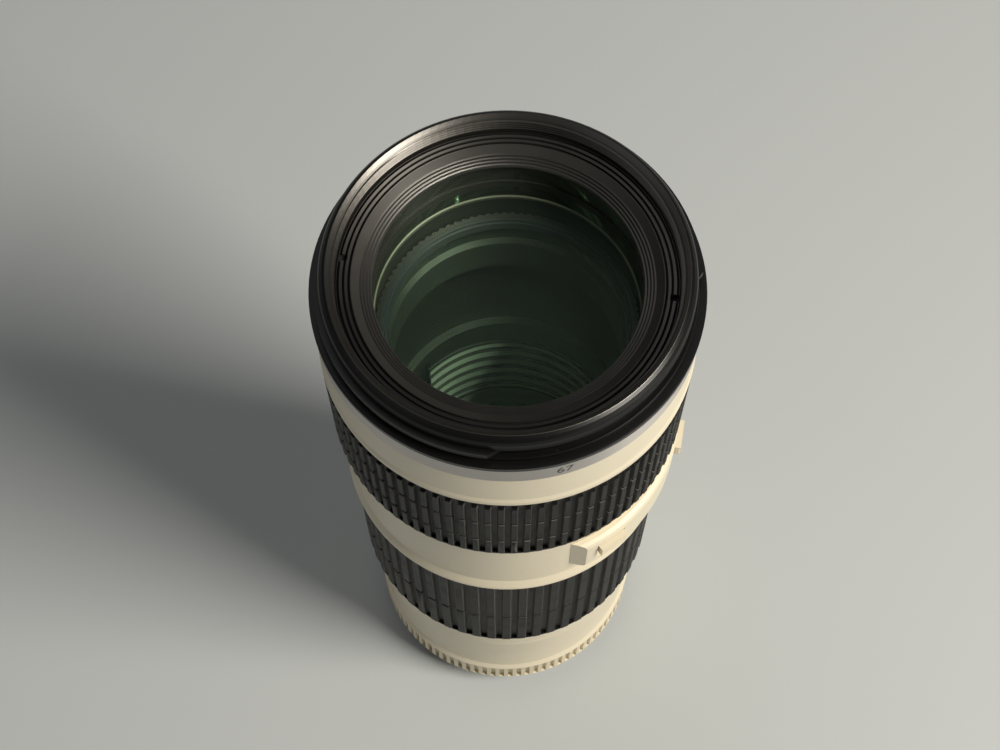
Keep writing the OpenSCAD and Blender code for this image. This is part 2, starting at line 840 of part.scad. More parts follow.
module distance_window() {
    gap = arc_deg(seat, band_r);
    half = window_len / 2 - seat;
    top = band_r - window_sink;
    color("lightblue")
        sector(top - window_t, top, window_z - half, window_z + half,
               window_az - window_arc / 2 + gap, window_az + window_arc / 2 - gap);
}

module distance_scale() {
    color("#d8d8d0") tube(scale_in, scale_r, z_spindle + carrier_t / 2 + seat, z_band1 - 1);
}

// Wedge of space between two planes that lean towards each other by the given angle
module panel_area(z0, z1, r_in, r_out, a0, a1, lean) {
    mid = (a0 + a1) / 2;
    far = r_out * 2;
    translate([0, 0, z0])
        linear_extrude(height = z1 - z0)
            polygon([
                polar(r_in, a0), polar(r_out, a0 + lean), polar(far, a0 + lean), polar(far, mid),
                polar(far, a1 - lean), polar(r_out, a1 - lean), polar(r_in, a1), polar(r_in / 2, mid)
            ]);
}

// Raised panel with slanted ends and rounded edges, and a pit for each switch
module switch_panel() {
    z0 = panel_z - panel_len / 2;
    z1 = panel_z + panel_len / 2;
    foot = band_r + seat;
    top = band_r + panel_h;
    round_off = panel_edge * 0.3;
    pit_w = knob_w + 2 * run;
    pit_len = knob_len + switch_travel + 2 * run;
    color("ivory") difference() {
        intersection() {
            revolve([
                [foot, z0], [top - panel_edge, z0], [top - round_off, z0 + round_off],
                [top, z0 + panel_edge], [top, z1 - panel_edge], [top - round_off, z1 - round_off],
                [top - panel_edge, z1], [foot, z1]
            ]);
            panel_area(z0 - over, z1 + over, band_r, top, panel_az[0], panel_az[1], panel_lean);
        }
        for (a = switch_az)
            rotate([0, 0, a])
                translate([top - switch_pit, -pit_w / 2, panel_z - pit_len / 2])
                    cube([panel_h, pit_w, pit_len]);
    }
}

// Sliding knob with a ridged top, at the front end of its pit
module switch_knob(a) {
    r0 = band_r + panel_h - switch_pit + run;
    z0 = panel_z + switch_travel / 2 - knob_len / 2;
    color("#303030") rotate([0, 0, a]) difference() {
        translate([r0, -knob_w / 2, z0])
            cube([knob_h, knob_w, knob_len]);
        for (k = [-1:1])
            let (z = z0 + knob_len / 2 + k * knob_groove_step - knob_groove / 2)
                translate([r0 + knob_h - knob_groove, -knob_w / 2 - over, z])
                    cube([over, knob_w + 2 * over, knob_groove]);
    }
}

module focus_mode_switch() {
    switch_knob(switch_az[0]);
}

module focus_range_switch() {
    switch_knob(switch_az[1]);
}

// Elastic ring with a comb of teeth on the side that drives the rotor
module motor_stator() {
    color("#b08d57") difference() {
        tube(ring_in, band_in - run, z_stator, z_stator + stator_t);
        for (k = [0:stator_teeth - 1])
            rotate([0, 0, 360 / stator_teeth * k])
                translate([ring_in - over, -tooth_slot_w / 2, z_stator + stator_t - tooth_slot_t])
                    cube([band_in - ring_in + 2 * over, tooth_slot_w, tooth_slot_t + over]);
    }
}

module motor_rotor() {
    color("silver") tube(ring_in, band_in - run, z_rotor, z_rotor + rotor_t);
}

// Ring that carries the differential rollers between the rotor and the focus ring
module roller_carrier() {
    pocket_r = ring_in + axle_inset;
    pocket_w = 2 * (spindle_roller_r + run);
    color("#707070") difference() {
        tube(ring_in, scale_r, z_spindle - carrier_t / 2, z_spindle + carrier_t / 2);
        at_thirds(60)
            translate([pocket_r, -pocket_w / 2, z_spindle - carrier_t])
                cube([skirt_r - pocket_r + 2 * seat, pocket_w, 2 * carrier_t]);
        at_thirds(60)
            radial_pin(ring_in - over, scale_r + over, z_spindle, 0, axle_r + seat);
        at_thirds(0)
            radial_pin(ring_in - over, scale_in - run, z_spindle, 0, key_r + seat);
    }
}

module carrier_rollers() {
    color("silver") at_thirds(60) {
        radial_pin(ring_in + axle_inset + seat, skirt_r - seat, z_spindle, 0, spindle_roller_r);
        radial_pin(ring_in + seat, scale_r - seat, z_spindle, 0, axle_r);
    }
}

// Pins that carry the turn of the carrier through the chassis to the focus cam
module focus_keys() {
    color("silver") at_thirds(0)
        radial_pin(focus_cam_in + 0.2, scale_in - run - seat, z_spindle, 0, key_r);
}

module focus_cam() {
    color("#8a7a55") difference() {
        tube(focus_cam_in, focus_cam_r, z_focus_cam, z_cell_front - run);
        at_thirds(roller_az)
            helix_slot(focus_cam_in, focus_cam_r, z_focus_roller, focus_travel, focus_cam_turn,
                       focus_roller_r);
        at_thirds(0)
            radial_pin(focus_cam_in - over, focus_cam_r + over, z_spindle, 0, key_r + seat);
    }
}

// Focus ring: an outer wall for the rubber, two bearing webs and a skirt that presses on the rollers
module focus_ring() {
    z0 = z_band1 + ring_gap;
    z1 = z_focus1 - ring_gap;
    wall_in = focus_r - focus_ring_wall;
    color("#3c3c3c")
        revolve([
            [ring_in, z_skirt], [skirt_r, z_skirt], [skirt_r, z0], [focus_r, z0], [focus_r, z1],
            [ring_in, z1], [ring_in, z1 - focus_web], [wall_in, z1 - focus_web],
            [wall_in, z0 + focus_web], [ring_in, z0 + focus_web]
        ]);
}

module focus_grip() {
    color("#202020")
        ribbed_grip(focus_r + seat, focus_grip_r, z_band1 + ring_gap, z_focus1 - ring_gap, focus_ribs,
                    0.56, 0.42, [0.38, 0.72], grip_rim * 2.75);
}

// Cell of the focus glass, with fine notches round its front rim
module focus_cell() {
    z0 = z_focus_cell;
    z1 = z0 + focus_cell_len;
    z_ledge = z1 - focus_retainer_t - seat;
    clear_r = focus_glass_r - focus_seat_w;
    rim_notches = 96;
    rim_notch_t = 0.5;
    rim_tooth_w = 0.9;
    color("#303030") rotate([0, 0, roller_az]) difference() {
        revolve([
            [clear_r, z0], [focus_cell_r, z0], [focus_cell_r, z1], [focus_retainer_r, z1],
            [focus_retainer_r, z_ledge], [focus_glass_r, z_ledge], [focus_glass_r, z_focus_seat],
            [clear_r, z_focus_seat - focus_seat_w]
        ]);
        translate([0, 0, z1 - rim_notch_t])
            linear_extrude(height = rim_notch_t + over)
                difference() {
                    circle(r = focus_cell_r + over);
                    polygon(rib_outline(rim_notches, focus_cell_r - rim_notch_t, focus_cell_r + 0.2,
                                        rim_tooth_w, rim_tooth_w));
                }
        at_thirds(0)
            radial_pin(focus_cell_r - focus_roller_inset, focus_cell_r + over, z_focus_roller, 0,
                       focus_roller_r * shank + seat);
    }
}

module focus_glass() {
    lens(focus_glass_r - seat, z_focus_seat + seat, focus_glass_t, focus_glass_r - 2, focus_bulge,
         focus_glass_r - 4, focus_hollow);
}

module focus_retainer() {
    z0 = z_focus_cell + focus_cell_len - focus_retainer_t;
    z1 = z_focus_cell + focus_cell_len - seat;
    z_dip = z1 - 0.55;
    r = focus_retainer_r - seat;
    color("#303030")
        revolve([
            [r - focus_retainer_w, z0], [r, z0], [r, z1], [r - 0.5, z1],
            [r - 0.7, z_dip], [r - focus_retainer_w + fine_bevel, z_dip]
        ]);
}

module focus_rollers() {
    color("silver") rotate([0, 0, roller_az])
        cell_rollers(z_focus_roller, focus_roller_r, focus_cell_r - focus_roller_inset + seat,
                     focus_cell_r + seat, focus_cam_r - 0.2);
}

// Cell of the front group, hung by its flange on a shoulder of the filter ring
module front_cell() {
    z_flange = z_trim1 + seat;
    z1 = z_flange + front_flange_t;
    in = front_glass_r + seat;
    color("#262626")
        revolve([
            [second_glass_r - second_lip_w, z_cell_front], [front_tail_r, z_cell_front],
            [front_tail_r, z_chassis1], [front_cell_r, z_chassis1], [front_cell_r, z_flange],
            [retainer_r, z_flange], [retainer_r, z1], [in, z1], [in, z_front_glass],
            [second_glass_r, z_front_glass], [second_glass_r, z_cell_front + second_lip_t]
        ]);
}

module front_glass() {
    z0 = z_front_glass;
    color("lightblue")
        revolve(concat([[0, z0 - 0.9], [front_clear_r * 0.6, z0 - 0.6], [front_glass_r - 1.4, z0 + seat],
                        [front_glass_r, z0 + seat], [front_glass_r, z_glass_edge - fine_bevel]],
                       cap(front_clear_r, z_glass_edge, front_bulge)));
}

module second_glass() {
    z0 = z_cell_front + second_lip_t + seat;
    z1 = z_front_glass - 2;
    r = second_glass_r - seat;
    mid = r * 0.6;
    color("lightblue")
        revolve([
            [0, z0 + 0.7], [mid, z0 + 0.5], [r - 1, z0], [r, z0],
            [r, z1], [r - 1.2, z1], [mid, z1 - 0.6], [0, z1 - 0.9]
        ]);
}

// Front white ring with a flared lip towards the focus grip
module front_barrel() {
    in = nose_tube_r + seat;
    r = nose_r - 0.1;
    lip_r = r + 0.3;
    z0 = z_focus1;
    z1 = z_front1 - seat;
    color("ivory")
        revolve([
            [in, z0], [lip_r - fine_bevel, z0], [lip_r, z0 + fine_bevel], [lip_r, z0 + 1.4],
            [r, z0 + 2.6], [r, z1], [in, z1]
        ]);
}

module trim_ring() {
    in = nose_tube_r + seat;
    z1 = z_trim1 - seat;
    edge = 0.2;
    color("silver")
        revolve([
            [in, z_front1], [nose_r - edge, z_front1], [nose_r, z_front1 + edge],
            [nose_r, z1 - edge], [nose_r - edge, z1], [in, z1]
        ]);
}

// Black ring: filter thread inside; outside a hood stop flange with a collar, a groove with two
// hood lugs that have slanted ends, and a rounded rim
module filter_ring() {
    edge = 0.2;
    stop_r = nose_r + 0.2;
    collar_r = filter_r + 3.1;
    groove_r = filter_r + 1.8;
    neck_r = filter_r + 2.45;
    rim_r = filter_r + 0.95;
    lug_r = filter_r + 3.6;
    lug_az = -3;
    lug_lean = 4;
    z_tube = z_focus1 + 1;
    z_stop = z_trim1 + 1.5;
    z_collar = z_stop + 1;
    z_lug = z_nose1 - 5.1;
    lug_t = 1.6;
    z_neck = z_nose1 - 3.6;
    z_thread = z_nose1 - filter_depth;
    cell_in = front_cell_r + seat;
    sleeve_in = chassis_r + seat;
    z_shoulder = z_chassis1 + seat;
    color("#1e1e1e") union() {
        revolve([
            [sleeve_in, z_tube], [nose_tube_r, z_tube], [nose_tube_r, z_trim1],
            [stop_r - edge, z_trim1], [stop_r, z_trim1 + edge], [stop_r, z_stop - edge],
            [stop_r - edge, z_stop], [collar_r, z_stop], [collar_r, z_collar - edge],
            [collar_r - edge, z_collar], [groove_r, z_collar], [groove_r, z_neck], [neck_r, z_neck],
            [neck_r, z_nose1 - 1.5], [neck_r - 0.3, z_nose1 - 0.9], [neck_r - 0.85, z_nose1 - 0.35],
            [rim_r, z_nose1], [filter_r + fine_bevel, z_nose1], [filter_r, z_nose1 - fine_bevel],
            [filter_r, z_thread], [nose_bore_r, z_thread], [nose_bore_r, z_trim1], [cell_in, z_trim1],
            [cell_in, z_shoulder], [sleeve_in, z_shoulder]
        ]);
        for (a = [lug_az, lug_az + 180])
            intersection() {
                tube(groove_r - bevel, lug_r, z_lug, z_lug + lug_t);
                panel_area(z_lug - over, z_lug + lug_t + over, groove_r, lug_r, a, a + lug_arc, lug_lean);
            }
    }
}

// Threaded ring that holds the front glass: concentric grooves, a sloping band and a stepped bevel
module retaining_ring() {
    z1 = z_retainer1;
    z0 = z_trim1 + front_flange_t + 2 * seat;
    in = front_glass_r + 0.2;
    z_lip = z_glass_edge + seat;
    z_lip_top = z_lip + fine_bevel;
    groove_n = 3;
    groove_pitch = 1.05;
    groove_w = 0.5;
    groove_t = 0.7;
    groove_r = retainer_r - 0.5;
    flat_in = retainer_r - groove_n * groove_pitch + 0.15;
    slope_in = flat_in - (flat_in - front_clear_r) * 0.4;
    z_slope = z1 - 0.8;
    steps = 4;
    step_r = (slope_in - front_clear_r) / steps;
    step_z = (z_slope - z_lip_top) / steps;
    tread = 0.6;
    spanner_az = 172;
    spanner = [1.7, 1.4, 1];
    color("#242424") difference() {
        revolve(concat(
            [[retainer_r, z0], [retainer_r, z1 - 0.2], [retainer_r - 0.2, z1]],
            [[flat_in, z1], [slope_in, z_slope]],
            [for (k = [1:steps]) each [
                [slope_in - (k - 1 + tread) * step_r, z_slope - (k - 1) * step_z],
                [slope_in - k * step_r, z_slope - k * step_z]
            ]],
            [[front_clear_r, z_lip], [in, z_lip], [in, z0]]
        ));
        for (k = [0:groove_n - 1])
            let (r = groove_r - k * groove_pitch)
                tube(r - groove_w / 2, r + groove_w / 2, z1 - groove_t, z1 + over);
        for (a = [spanner_az, spanner_az + 180])
            rotate([0, 0, a])
                translate([retainer_r - spanner[0] - 0.2, -spanner[1] / 2, z1 - spanner[2]])
                    cube([spanner[0], spanner[1], spanner[2] + over]);
    }
}

mount_plate();
mount_screws();
mount_index();
rear_baffle();
contact_block();
contact_pins();
circuit_board();
rear_barrel();
chassis_tube();
guide_barrel();
cam_barrel();
zoom_keys();
zoom_ring();
zoom_grip();
variator_cell();
variator_glass();
variator_rollers();
compensator_cell();
compensator_glass();
compensator_rollers();
relay_cell();
relay_glass();
rear_glass();
iris_base();
iris_ring();
iris_cover();
iris_blade(1);  // iris_blade_1
iris_blade(2);  // iris_blade_2
iris_blade(3);  // iris_blade_3
iris_blade(4);  // iris_blade_4
iris_blade(5);  // iris_blade_5
iris_blade(6);  // iris_blade_6
iris_blade(7);  // iris_blade_7
iris_blade(8);  // iris_blade_8
band_shell();
switch_panel();
focus_mode_switch();
focus_range_switch();
distance_window();
distance_scale();
motor_stator();
motor_rotor();
roller_carrier();
carrier_rollers();
focus_keys();
focus_cam();
focus_ring();
focus_grip();
focus_cell();
focus_glass();
focus_retainer();
focus_rollers();
front_cell();
front_glass();
second_glass();
front_barrel();
trim_ring();
filter_ring();
retaining_ring();
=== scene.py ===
"""Looks of a telephoto zoom lens: materials, printed marks, thread, stage and camera."""
import json
import math

import bpy
from bpy.props import FloatProperty, FloatVectorProperty, IntProperty, PointerProperty
from mathutils import Matrix, Vector


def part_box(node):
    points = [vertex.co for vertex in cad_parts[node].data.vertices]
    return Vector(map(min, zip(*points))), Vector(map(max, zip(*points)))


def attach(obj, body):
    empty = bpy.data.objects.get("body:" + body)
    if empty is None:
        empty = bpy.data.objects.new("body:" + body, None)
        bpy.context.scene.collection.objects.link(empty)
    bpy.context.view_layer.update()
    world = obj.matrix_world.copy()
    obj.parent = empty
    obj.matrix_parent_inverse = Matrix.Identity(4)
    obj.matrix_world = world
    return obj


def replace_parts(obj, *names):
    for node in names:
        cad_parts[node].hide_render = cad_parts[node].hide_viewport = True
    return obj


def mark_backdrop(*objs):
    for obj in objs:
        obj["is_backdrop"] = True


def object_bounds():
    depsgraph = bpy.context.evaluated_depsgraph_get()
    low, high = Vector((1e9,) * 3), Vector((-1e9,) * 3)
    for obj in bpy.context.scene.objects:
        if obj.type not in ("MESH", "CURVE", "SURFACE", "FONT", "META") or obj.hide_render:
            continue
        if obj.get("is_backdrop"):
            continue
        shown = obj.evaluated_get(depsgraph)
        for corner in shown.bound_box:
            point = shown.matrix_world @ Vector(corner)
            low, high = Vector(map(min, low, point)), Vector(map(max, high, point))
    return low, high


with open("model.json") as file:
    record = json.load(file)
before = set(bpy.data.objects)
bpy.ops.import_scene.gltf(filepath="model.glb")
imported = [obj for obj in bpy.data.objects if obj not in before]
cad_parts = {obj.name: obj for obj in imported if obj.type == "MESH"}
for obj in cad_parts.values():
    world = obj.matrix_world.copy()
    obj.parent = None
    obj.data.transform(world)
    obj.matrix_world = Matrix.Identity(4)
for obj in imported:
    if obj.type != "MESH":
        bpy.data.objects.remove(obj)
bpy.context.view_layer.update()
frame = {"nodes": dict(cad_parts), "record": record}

bl_info = {
    "name": "Telephoto Zoom Lens",
    "version": (1, 0, 0),
    "blender": (4, 5, 0),
    "location": "3D View > Sidebar > Lens",
    "description": "Dresses the lens frame with materials, marks and a studio",
    "category": "Object",
}

MM = 0.001
TURN = 2.0 * math.pi

# Lathe lines run round the axis, so their highlights stretch across them.
ACROSS = 0.25

# Azimuths of the marks, in degrees.
TRIM_NUMBER_AT = -74.0
INDEX_AT = 40.0
STOPPING_AT = -72.3

# Numbers of the scales, each with the turn of its ring that brings it to the index, in degrees.
DISTANCES = (("20", 2.0), ("10", 9.0), ("5", 18.0), ("3", 30.0), ("2", 46.0), ("1.5", 60.0), ("1.2", 70.0))
FOCAL_LENGTHS = (("200", 0.0), ("135", 24.0), ("100", 46.0), ("70", 75.0))

# Each grip with its notches, as shares of its height from the top, and with how strongly their floors are painted
# pale, as dust and a painted highlight.
GRIPS = (("focus_grip", (0.38, 0.72), 1.0), ("zoom_grip", (0.58,), 0.45))

# Profile of the filter thread: share of its depth, and share of its pitch.
THREAD_PROFILE = ((0, 0.1), (1, 0.44), (1, 0.56), (0, 0.9))
THREAD_FADE_STEPS = 12.0


def colour_prop(name, description, default):
    return FloatVectorProperty(name=name, description=description, default=default,
                               subtype="COLOR", size=3, min=0.0, max=1.0)


def length_prop(name, description, default):
    return FloatProperty(name=name, description=description, default=default,
                         unit="LENGTH", subtype="DISTANCE", precision=5)


class LensColours(bpy.types.PropertyGroup):
    """Base colours of the lens, linear"""
    cream: colour_prop("Cream paint", "Satin paint of the barrels", (0.80, 0.72, 0.545))
    cream_shade: colour_prop("Cream in the mottling", "Darker tone of the paint", (0.74, 0.66, 0.49))
    cream_speck: colour_prop("Specks", "Specks in the paint", (0.45, 0.41, 0.34))
    rubber: colour_prop("Rubber", "Grips", (0.0060, 0.0060, 0.0058))
    rubber_dust: colour_prop("Rubber bloom", "Dusty tone on the rubber", (0.013, 0.013, 0.012))
    # Rib sides are pale partly from wear and partly as a painted highlight, which the lamp brings out on the sides
    # facing it.
    rib_side_wear_and_highlight: colour_prop("Rib sides", "Worn sides of the ribs", (0.15, 0.145, 0.13))
    notch_dark: colour_prop("Notches", "Shade in the notches of the ribs", (0.001, 0.001, 0.001))
    # Notch floors are pale with dust and a painted highlight on their upward faces.
    notch_dust_and_highlight: colour_prop("Notch dust", "Dust on the floors of the notches", (0.20, 0.195, 0.175))
    lint: colour_prop("Lint", "Fine dust on the rubber and the black paint", (0.12, 0.115, 0.105))
    black: colour_prop("Black paint", "Front ring", (0.0040, 0.0040, 0.0038))
    anodised: colour_prop("Black anodising", "Cells and tubes", (0.011, 0.0112, 0.010))
    retainer: colour_prop("Turned black", "Turned metal round the front glass", (0.104, 0.099, 0.091))
    # Painted shade for the grooves and step risers of the retaining ring.
    groove_shade: colour_prop("Groove black", "Grooves of the retaining ring", (0.002, 0.002, 0.002))
    # The lip is bare metal painted bright as a highlight.
    bare_lip_and_highlight: colour_prop("Cell lip", "Bright lip of the front cell", (0.50, 0.48, 0.41))
    inner_ring: colour_prop("Inner ring", "Ring round the focus glass", (0.010, 0.014, 0.016))
    # This pale colour is painted light on the bands of the guide barrel's bore.
    trap: colour_prop("Light trap", "Matt bore of the guide barrel", (0.42, 0.47, 0.42))
    moulded: colour_prop("Moulded black", "Paler tone of the moulded pieces", (0.022, 0.022, 0.022))
    blade: colour_prop("Iris blades", "Dry film on the blades", (0.008, 0.008, 0.008))
    blade_worn: colour_prop("Worn blades", "Paler tone of the dry film", (0.017, 0.017, 0.017))
    silver: colour_prop("Satin aluminium", "Trim ring", (0.56, 0.53, 0.50))
    steel: colour_prop("Steel", "Mount, keys and rollers", (0.62, 0.62, 0.61))
    brass: colour_prop("Brass", "Cams and stator", (0.62, 0.45, 0.19))
    blacking: colour_prop("Blacking", "Blackened bores of the brass pieces", (0.006, 0.006, 0.006))
    gold: colour_prop("Gold", "Contacts", (0.83, 0.60, 0.22))
    board: colour_prop("Circuit board", "Solder mask", (0.02, 0.12, 0.05))
    red: colour_prop("Index", "Enamel of the mount index", (0.55, 0.02, 0.015))
    print_dark: colour_prop("Dark print", "Numbers on pale pieces", (0.03, 0.03, 0.03))
    print_pale: colour_prop("Pale print", "Numbers on dark pieces", (0.75, 0.75, 0.72))
    front_glass: colour_prop("Front glass", "Tint of each surface of the front glass", (0.962, 0.968, 0.935))
    glass: colour_prop("Glass", "Tint of each coated surface", (0.936, 0.976, 0.943))
    window: colour_prop("Window", "Tint of each surface of the distance window", (0.93, 0.94, 0.93))
    coating: colour_prop("Coating", "Tint of what the glasses mirror", (0.75, 0.95, 0.80))


class LensSizes(bpy.types.PropertyGroup):
    """Sizes of the shapes and finishes that the looks add"""
    thread_pitch: length_prop("Thread pitch", "Pitch of the filter thread", 0.75 * MM)
    thread_depth: length_prop("Thread depth", "Root to crest of the filter thread", 0.45 * MM)
    thread_root: length_prop("Thread root", "Radius of the filter thread's root", 33.47 * MM)
    thread_turns: FloatProperty(name="Thread turns", description="Turns of the filter thread", default=3.4)
    thread_steps: IntProperty(name="Thread steps", description="Steps in each turn", default=120)
    mouth: length_prop("Mouth", "Radius inside which the front ring is bare turned metal", 34.46 * MM)
    rim_slope: length_prop("Rim slope", "Fall of the chamfer inside the front rim", 0.5 * MM)
    rib_edge: length_prop("Rib edge", "Rounding of the ribs of the grips", 0.14 * MM)
    trap_low: length_prop("Trap start", "Lower end of the guide barrel's matt bore", 63.0 * MM)
    trap_high: length_prop("Trap end", "Upper end of the guide barrel's matt bore", 89.3 * MM)
    stopping: length_prop("Stopping", "Radius of the disc that closes the hole in the centre barrel", 0.5 * MM)
    stopping_height: length_prop("Stopping height", "Height of that disc", 101.2 * MM)
    skirt: length_prop("Skirt", "Radius of the zoom ring's skirt", 34.85 * MM)
    print_lift: length_prop("Print lift", "Height of the print over its surface", 0.02 * MM)
    trim_text: length_prop("Trim number", "Height of the number on the trim ring", 3.4 * MM)
    zoom_text: length_prop("Focal lengths", "Height of the numbers on the zoom ring", 2.6 * MM)
    scale_text: length_prop("Distances", "Height of the numbers on the distance scale", 1.9 * MM)
    index_line: length_prop("Index line", "Width of the index lines", 0.45 * MM)


class LensStage(bpy.types.PropertyGroup):
    """Camera, lamps and floor"""
    eye: FloatVectorProperty(name="Camera place", description="Place of the camera", subtype="TRANSLATION",
                             unit="LENGTH", default=(-0.00152369, -0.14663042, 0.43810836))
    right: FloatVectorProperty(name="Camera right", description="Image right", subtype="DIRECTION",
                               default=(1.0, -0.00115, -0.00054))
    ahead: FloatVectorProperty(name="Camera ahead", description="Line of sight", subtype="DIRECTION",
                               default=(0.0, 0.42279, -0.90623))
    focal: FloatProperty(name="Focal length", description="On a 36 mm sensor, in millimetres", default=58.14)
    floor: colour_prop("Floor", "Plain pale floor", (0.55, 0.575, 0.575))
    backdrop: colour_prop("Backdrop", "Floor and backdrop far from the lens", (0.36, 0.37, 0.36))
    floor_size: length_prop("Floor size", "Side of the floor", 6.0)
    fade_from: length_prop("Fade start", "Distance at which the floor starts to fade", 0.30)
    fade_to: length_prop("Fade end", "Distance at which the backdrop takes over", 1.10)
    glass_surfaces: IntProperty(name="Glass surfaces", description="Surfaces that light passes on its way",
                                default=40)
    ambient: FloatProperty(name="Ambient", description="Strength of the even light", default=0.07)
    key: FloatProperty(name="Key", description="Power of the lamp on the right", default=15.5)
    snoot: FloatProperty(name="Snoot", description="Power of the narrow steep lamp on the mouth", default=70.0)
    snoot_spread: FloatProperty(name="Snoot spread", description="Angle of the narrow lamp's cone",
                                subtype="ANGLE", default=math.radians(2.6))
    snoot_aim: length_prop("Snoot aim", "Height on the axis that the narrow lamp faces", 0.165)
    lamp_aim: length_prop("Lamp aim", "Height on the axis that the other lamps face", 0.09)
    fill: FloatProperty(name="Fill", description="Power of the lamp on the left", default=0.3)
    top: FloatProperty(name="Top", description="Power of the lamp over the far side", default=1.6)


class Socket:
    """An output socket that takes part in arithmetic."""

    def __init__(self, shade, out):
        self.shade = shade
        self.out = out

    def _math(self, operation, *values):
        node = self.shade.node("ShaderNodeMath", {"operation": operation},
                               **{"s%d" % i: v for i, v in enumerate(values)})
        return Socket(self.shade, node.outputs[0])

    def __add__(self, other):
        return self._math("ADD", self, other)

    __radd__ = __add__

    def __sub__(self, other):
        return self._math("SUBTRACT", self, other)

    def __rsub__(self, other):
        return self._math("SUBTRACT", other, self)

    def __mul__(self, other):
        return self._math("MULTIPLY", self, other)

    __rmul__ = __mul__

    def __truediv__(self, other):
        return self._math("DIVIDE", self, other)

    def __rtruediv__(self, other):
        return self._math("DIVIDE", other, self)

    def __pow__(self, other):
        return self._math("POWER", self, other)

    def __abs__(self):
        return (self * self) ** 0.5

    def atan2(self, other):
        return self._math("ARCTAN2", self, other)

    def ramp(self, low, high):
        """0 below low, 1 above high, smooth between."""
        node = self.shade.node("ShaderNodeMapRange", {"interpolation_type": "SMOOTHSTEP"},
                               Value=self, s1=low, s2=high, s3=0.0, s4=1.0)
        return Socket(self.shade, node.outputs[0])

    def band(self, start, full, fade, end):
        """Rises from start to full, and falls from fade to end."""
        return self.ramp(start, full) * (1.0 - self.ramp(fade, end))


class Tree:
    """A node tree, emptied, and the ways to fill it."""

    def __init__(self, tree):
        self.tree = tree
        tree.nodes.clear()

    def link(self, source, target):
        self.tree.links.new(source, target)

    def put(self, target, value):
        if isinstance(value, Socket):
            self.link(value.out, target)
        elif hasattr(value, "__len__") and len(value) == 3 and len(target.default_value) == 4:
            target.default_value = (*value, 1.0)
        else:
            target.default_value = value

    def node(self, kind, settings=None, **sockets):
        """A node of a kind, its settings first, then its sockets by name or by s and number."""
        node = self.tree.nodes.new(kind)
        for key, value in (settings or {}).items():
            setattr(node, key, value)
        for key, value in sockets.items():
            by_number = key[0] == "s" and key[1:].isdigit()
            self.put(node.inputs[int(key[1:])] if by_number else node.inputs[key], value)
        return node

    def rays(self, *kinds):
        """1 for rays of these kinds."""
        path = self.node("ShaderNodeLightPath")
        sockets = [Socket(self, path.outputs["Is %s Ray" % kind]) for kind in kinds]
        return sum(sockets[1:], sockets[0])

    def blend(self, factor, low, high, out):
        """Sends the mix of two shader nodes to the surface of an output node."""
        mixed = self.node("ShaderNodeMixShader", None, Fac=factor,
                          s1=Socket(self, low.outputs[0]), s2=Socket(self, high.outputs[0]))
        self.link(mixed.outputs[0], out.inputs["Surface"])


class Shade(Tree):
    """A material and the nodes in it."""

    def __init__(self, name, bare=False):
        self.mat = bpy.data.materials.new(name)
        self.mat.use_nodes = True
        super().__init__(self.mat.node_tree)
        self.out = self.node("ShaderNodeOutputMaterial")
        place = self.node("ShaderNodeTexCoord")
        self.place = Socket(self, place.outputs["Object"])
        self.face = Socket(self, place.outputs["Normal"])
        if not bare:
            self.bsdf = self.node("ShaderNodeBsdfPrincipled")
            self.link(self.bsdf.outputs[0], self.out.inputs["Surface"])

    def parts(self, vector):
        node = self.node("ShaderNodeSeparateXYZ", None, Vector=vector)
        return [Socket(self, out) for out in node.outputs]

    def radius(self):
        x, y, _ = self.parts(self.place)
        return (x * x + y * y) ** 0.5

    def height(self):
        return self.parts(self.place)[2]

    def upward(self):
        return self.parts(self.face)[2]

    def sideways(self):
        """Part of the face's normal that points round the axis, either way."""
        x, y, _ = self.parts(self.place)
        nx, ny, _ = self.parts(self.face)
        return abs((ny * x - nx * y) / (x * x + y * y) ** 0.5)

    def noise(self, scale, detail=2.0, rough=0.5, at=None):
        node = self.node("ShaderNodeTexNoise", None, Vector=at or self.place, Scale=scale,
                         Detail=detail, Roughness=rough)
        return Socket(self, node.outputs["Fac"])

    def turned(self, pitch):
        """Fine lines of a lathe: noise that varies along the radius and the axis, hardly round the axis."""
        x, y, z = self.parts(self.place)
        lay = self.node("ShaderNodeCombineXYZ", None, X=(x * x + y * y) ** 0.5,
                        Y=y.atan2(x) * (pitch * 1.5), Z=z)
        return self.noise(1.0 / pitch, 1.0, 0.5, Socket(self, lay.outputs[0]))

    def mix(self, factor, low, high):
        node = self.node("ShaderNodeMix", {"data_type": "RGBA"}, s0=factor, s6=low, s7=high)
        return Socket(self, node.outputs[2])

    def bump(self, height, depth):
        node = self.node("ShaderNodeBump", None, Strength=1.0, Distance=depth, Height=height)
        return Socket(self, node.outputs[0])

    def set(self, **values):
        for key, value in values.items():
            self.put(self.bsdf.inputs[key.replace("_", " ")], value)
        return self.mat


def toned(colour, factor):
    return [v * factor for v in colour]


def cream_paint(name):
    """Satin paint with a faint mottling and fine specks."""
    c = bpy.context.scene.lens_colours
    s = Shade(name)
    cloud = s.noise(55.0, 4.0, 0.6).ramp(0.35, 0.75)
    fine = s.noise(1900.0)
    speck = s.noise(820.0, 1.0).ramp(0.74, 0.80)
    base = s.mix(speck * 0.35, s.mix(cloud * 0.45, c.cream, c.cream_shade), c.cream_speck)
    return s.set(Base_Color=base, Roughness=0.36 + fine * 0.16, Normal=s.bump(fine, 0.012 * MM),
                 Coat_Weight=0.12 + cloud * 0.08, Coat_Roughness=0.28)


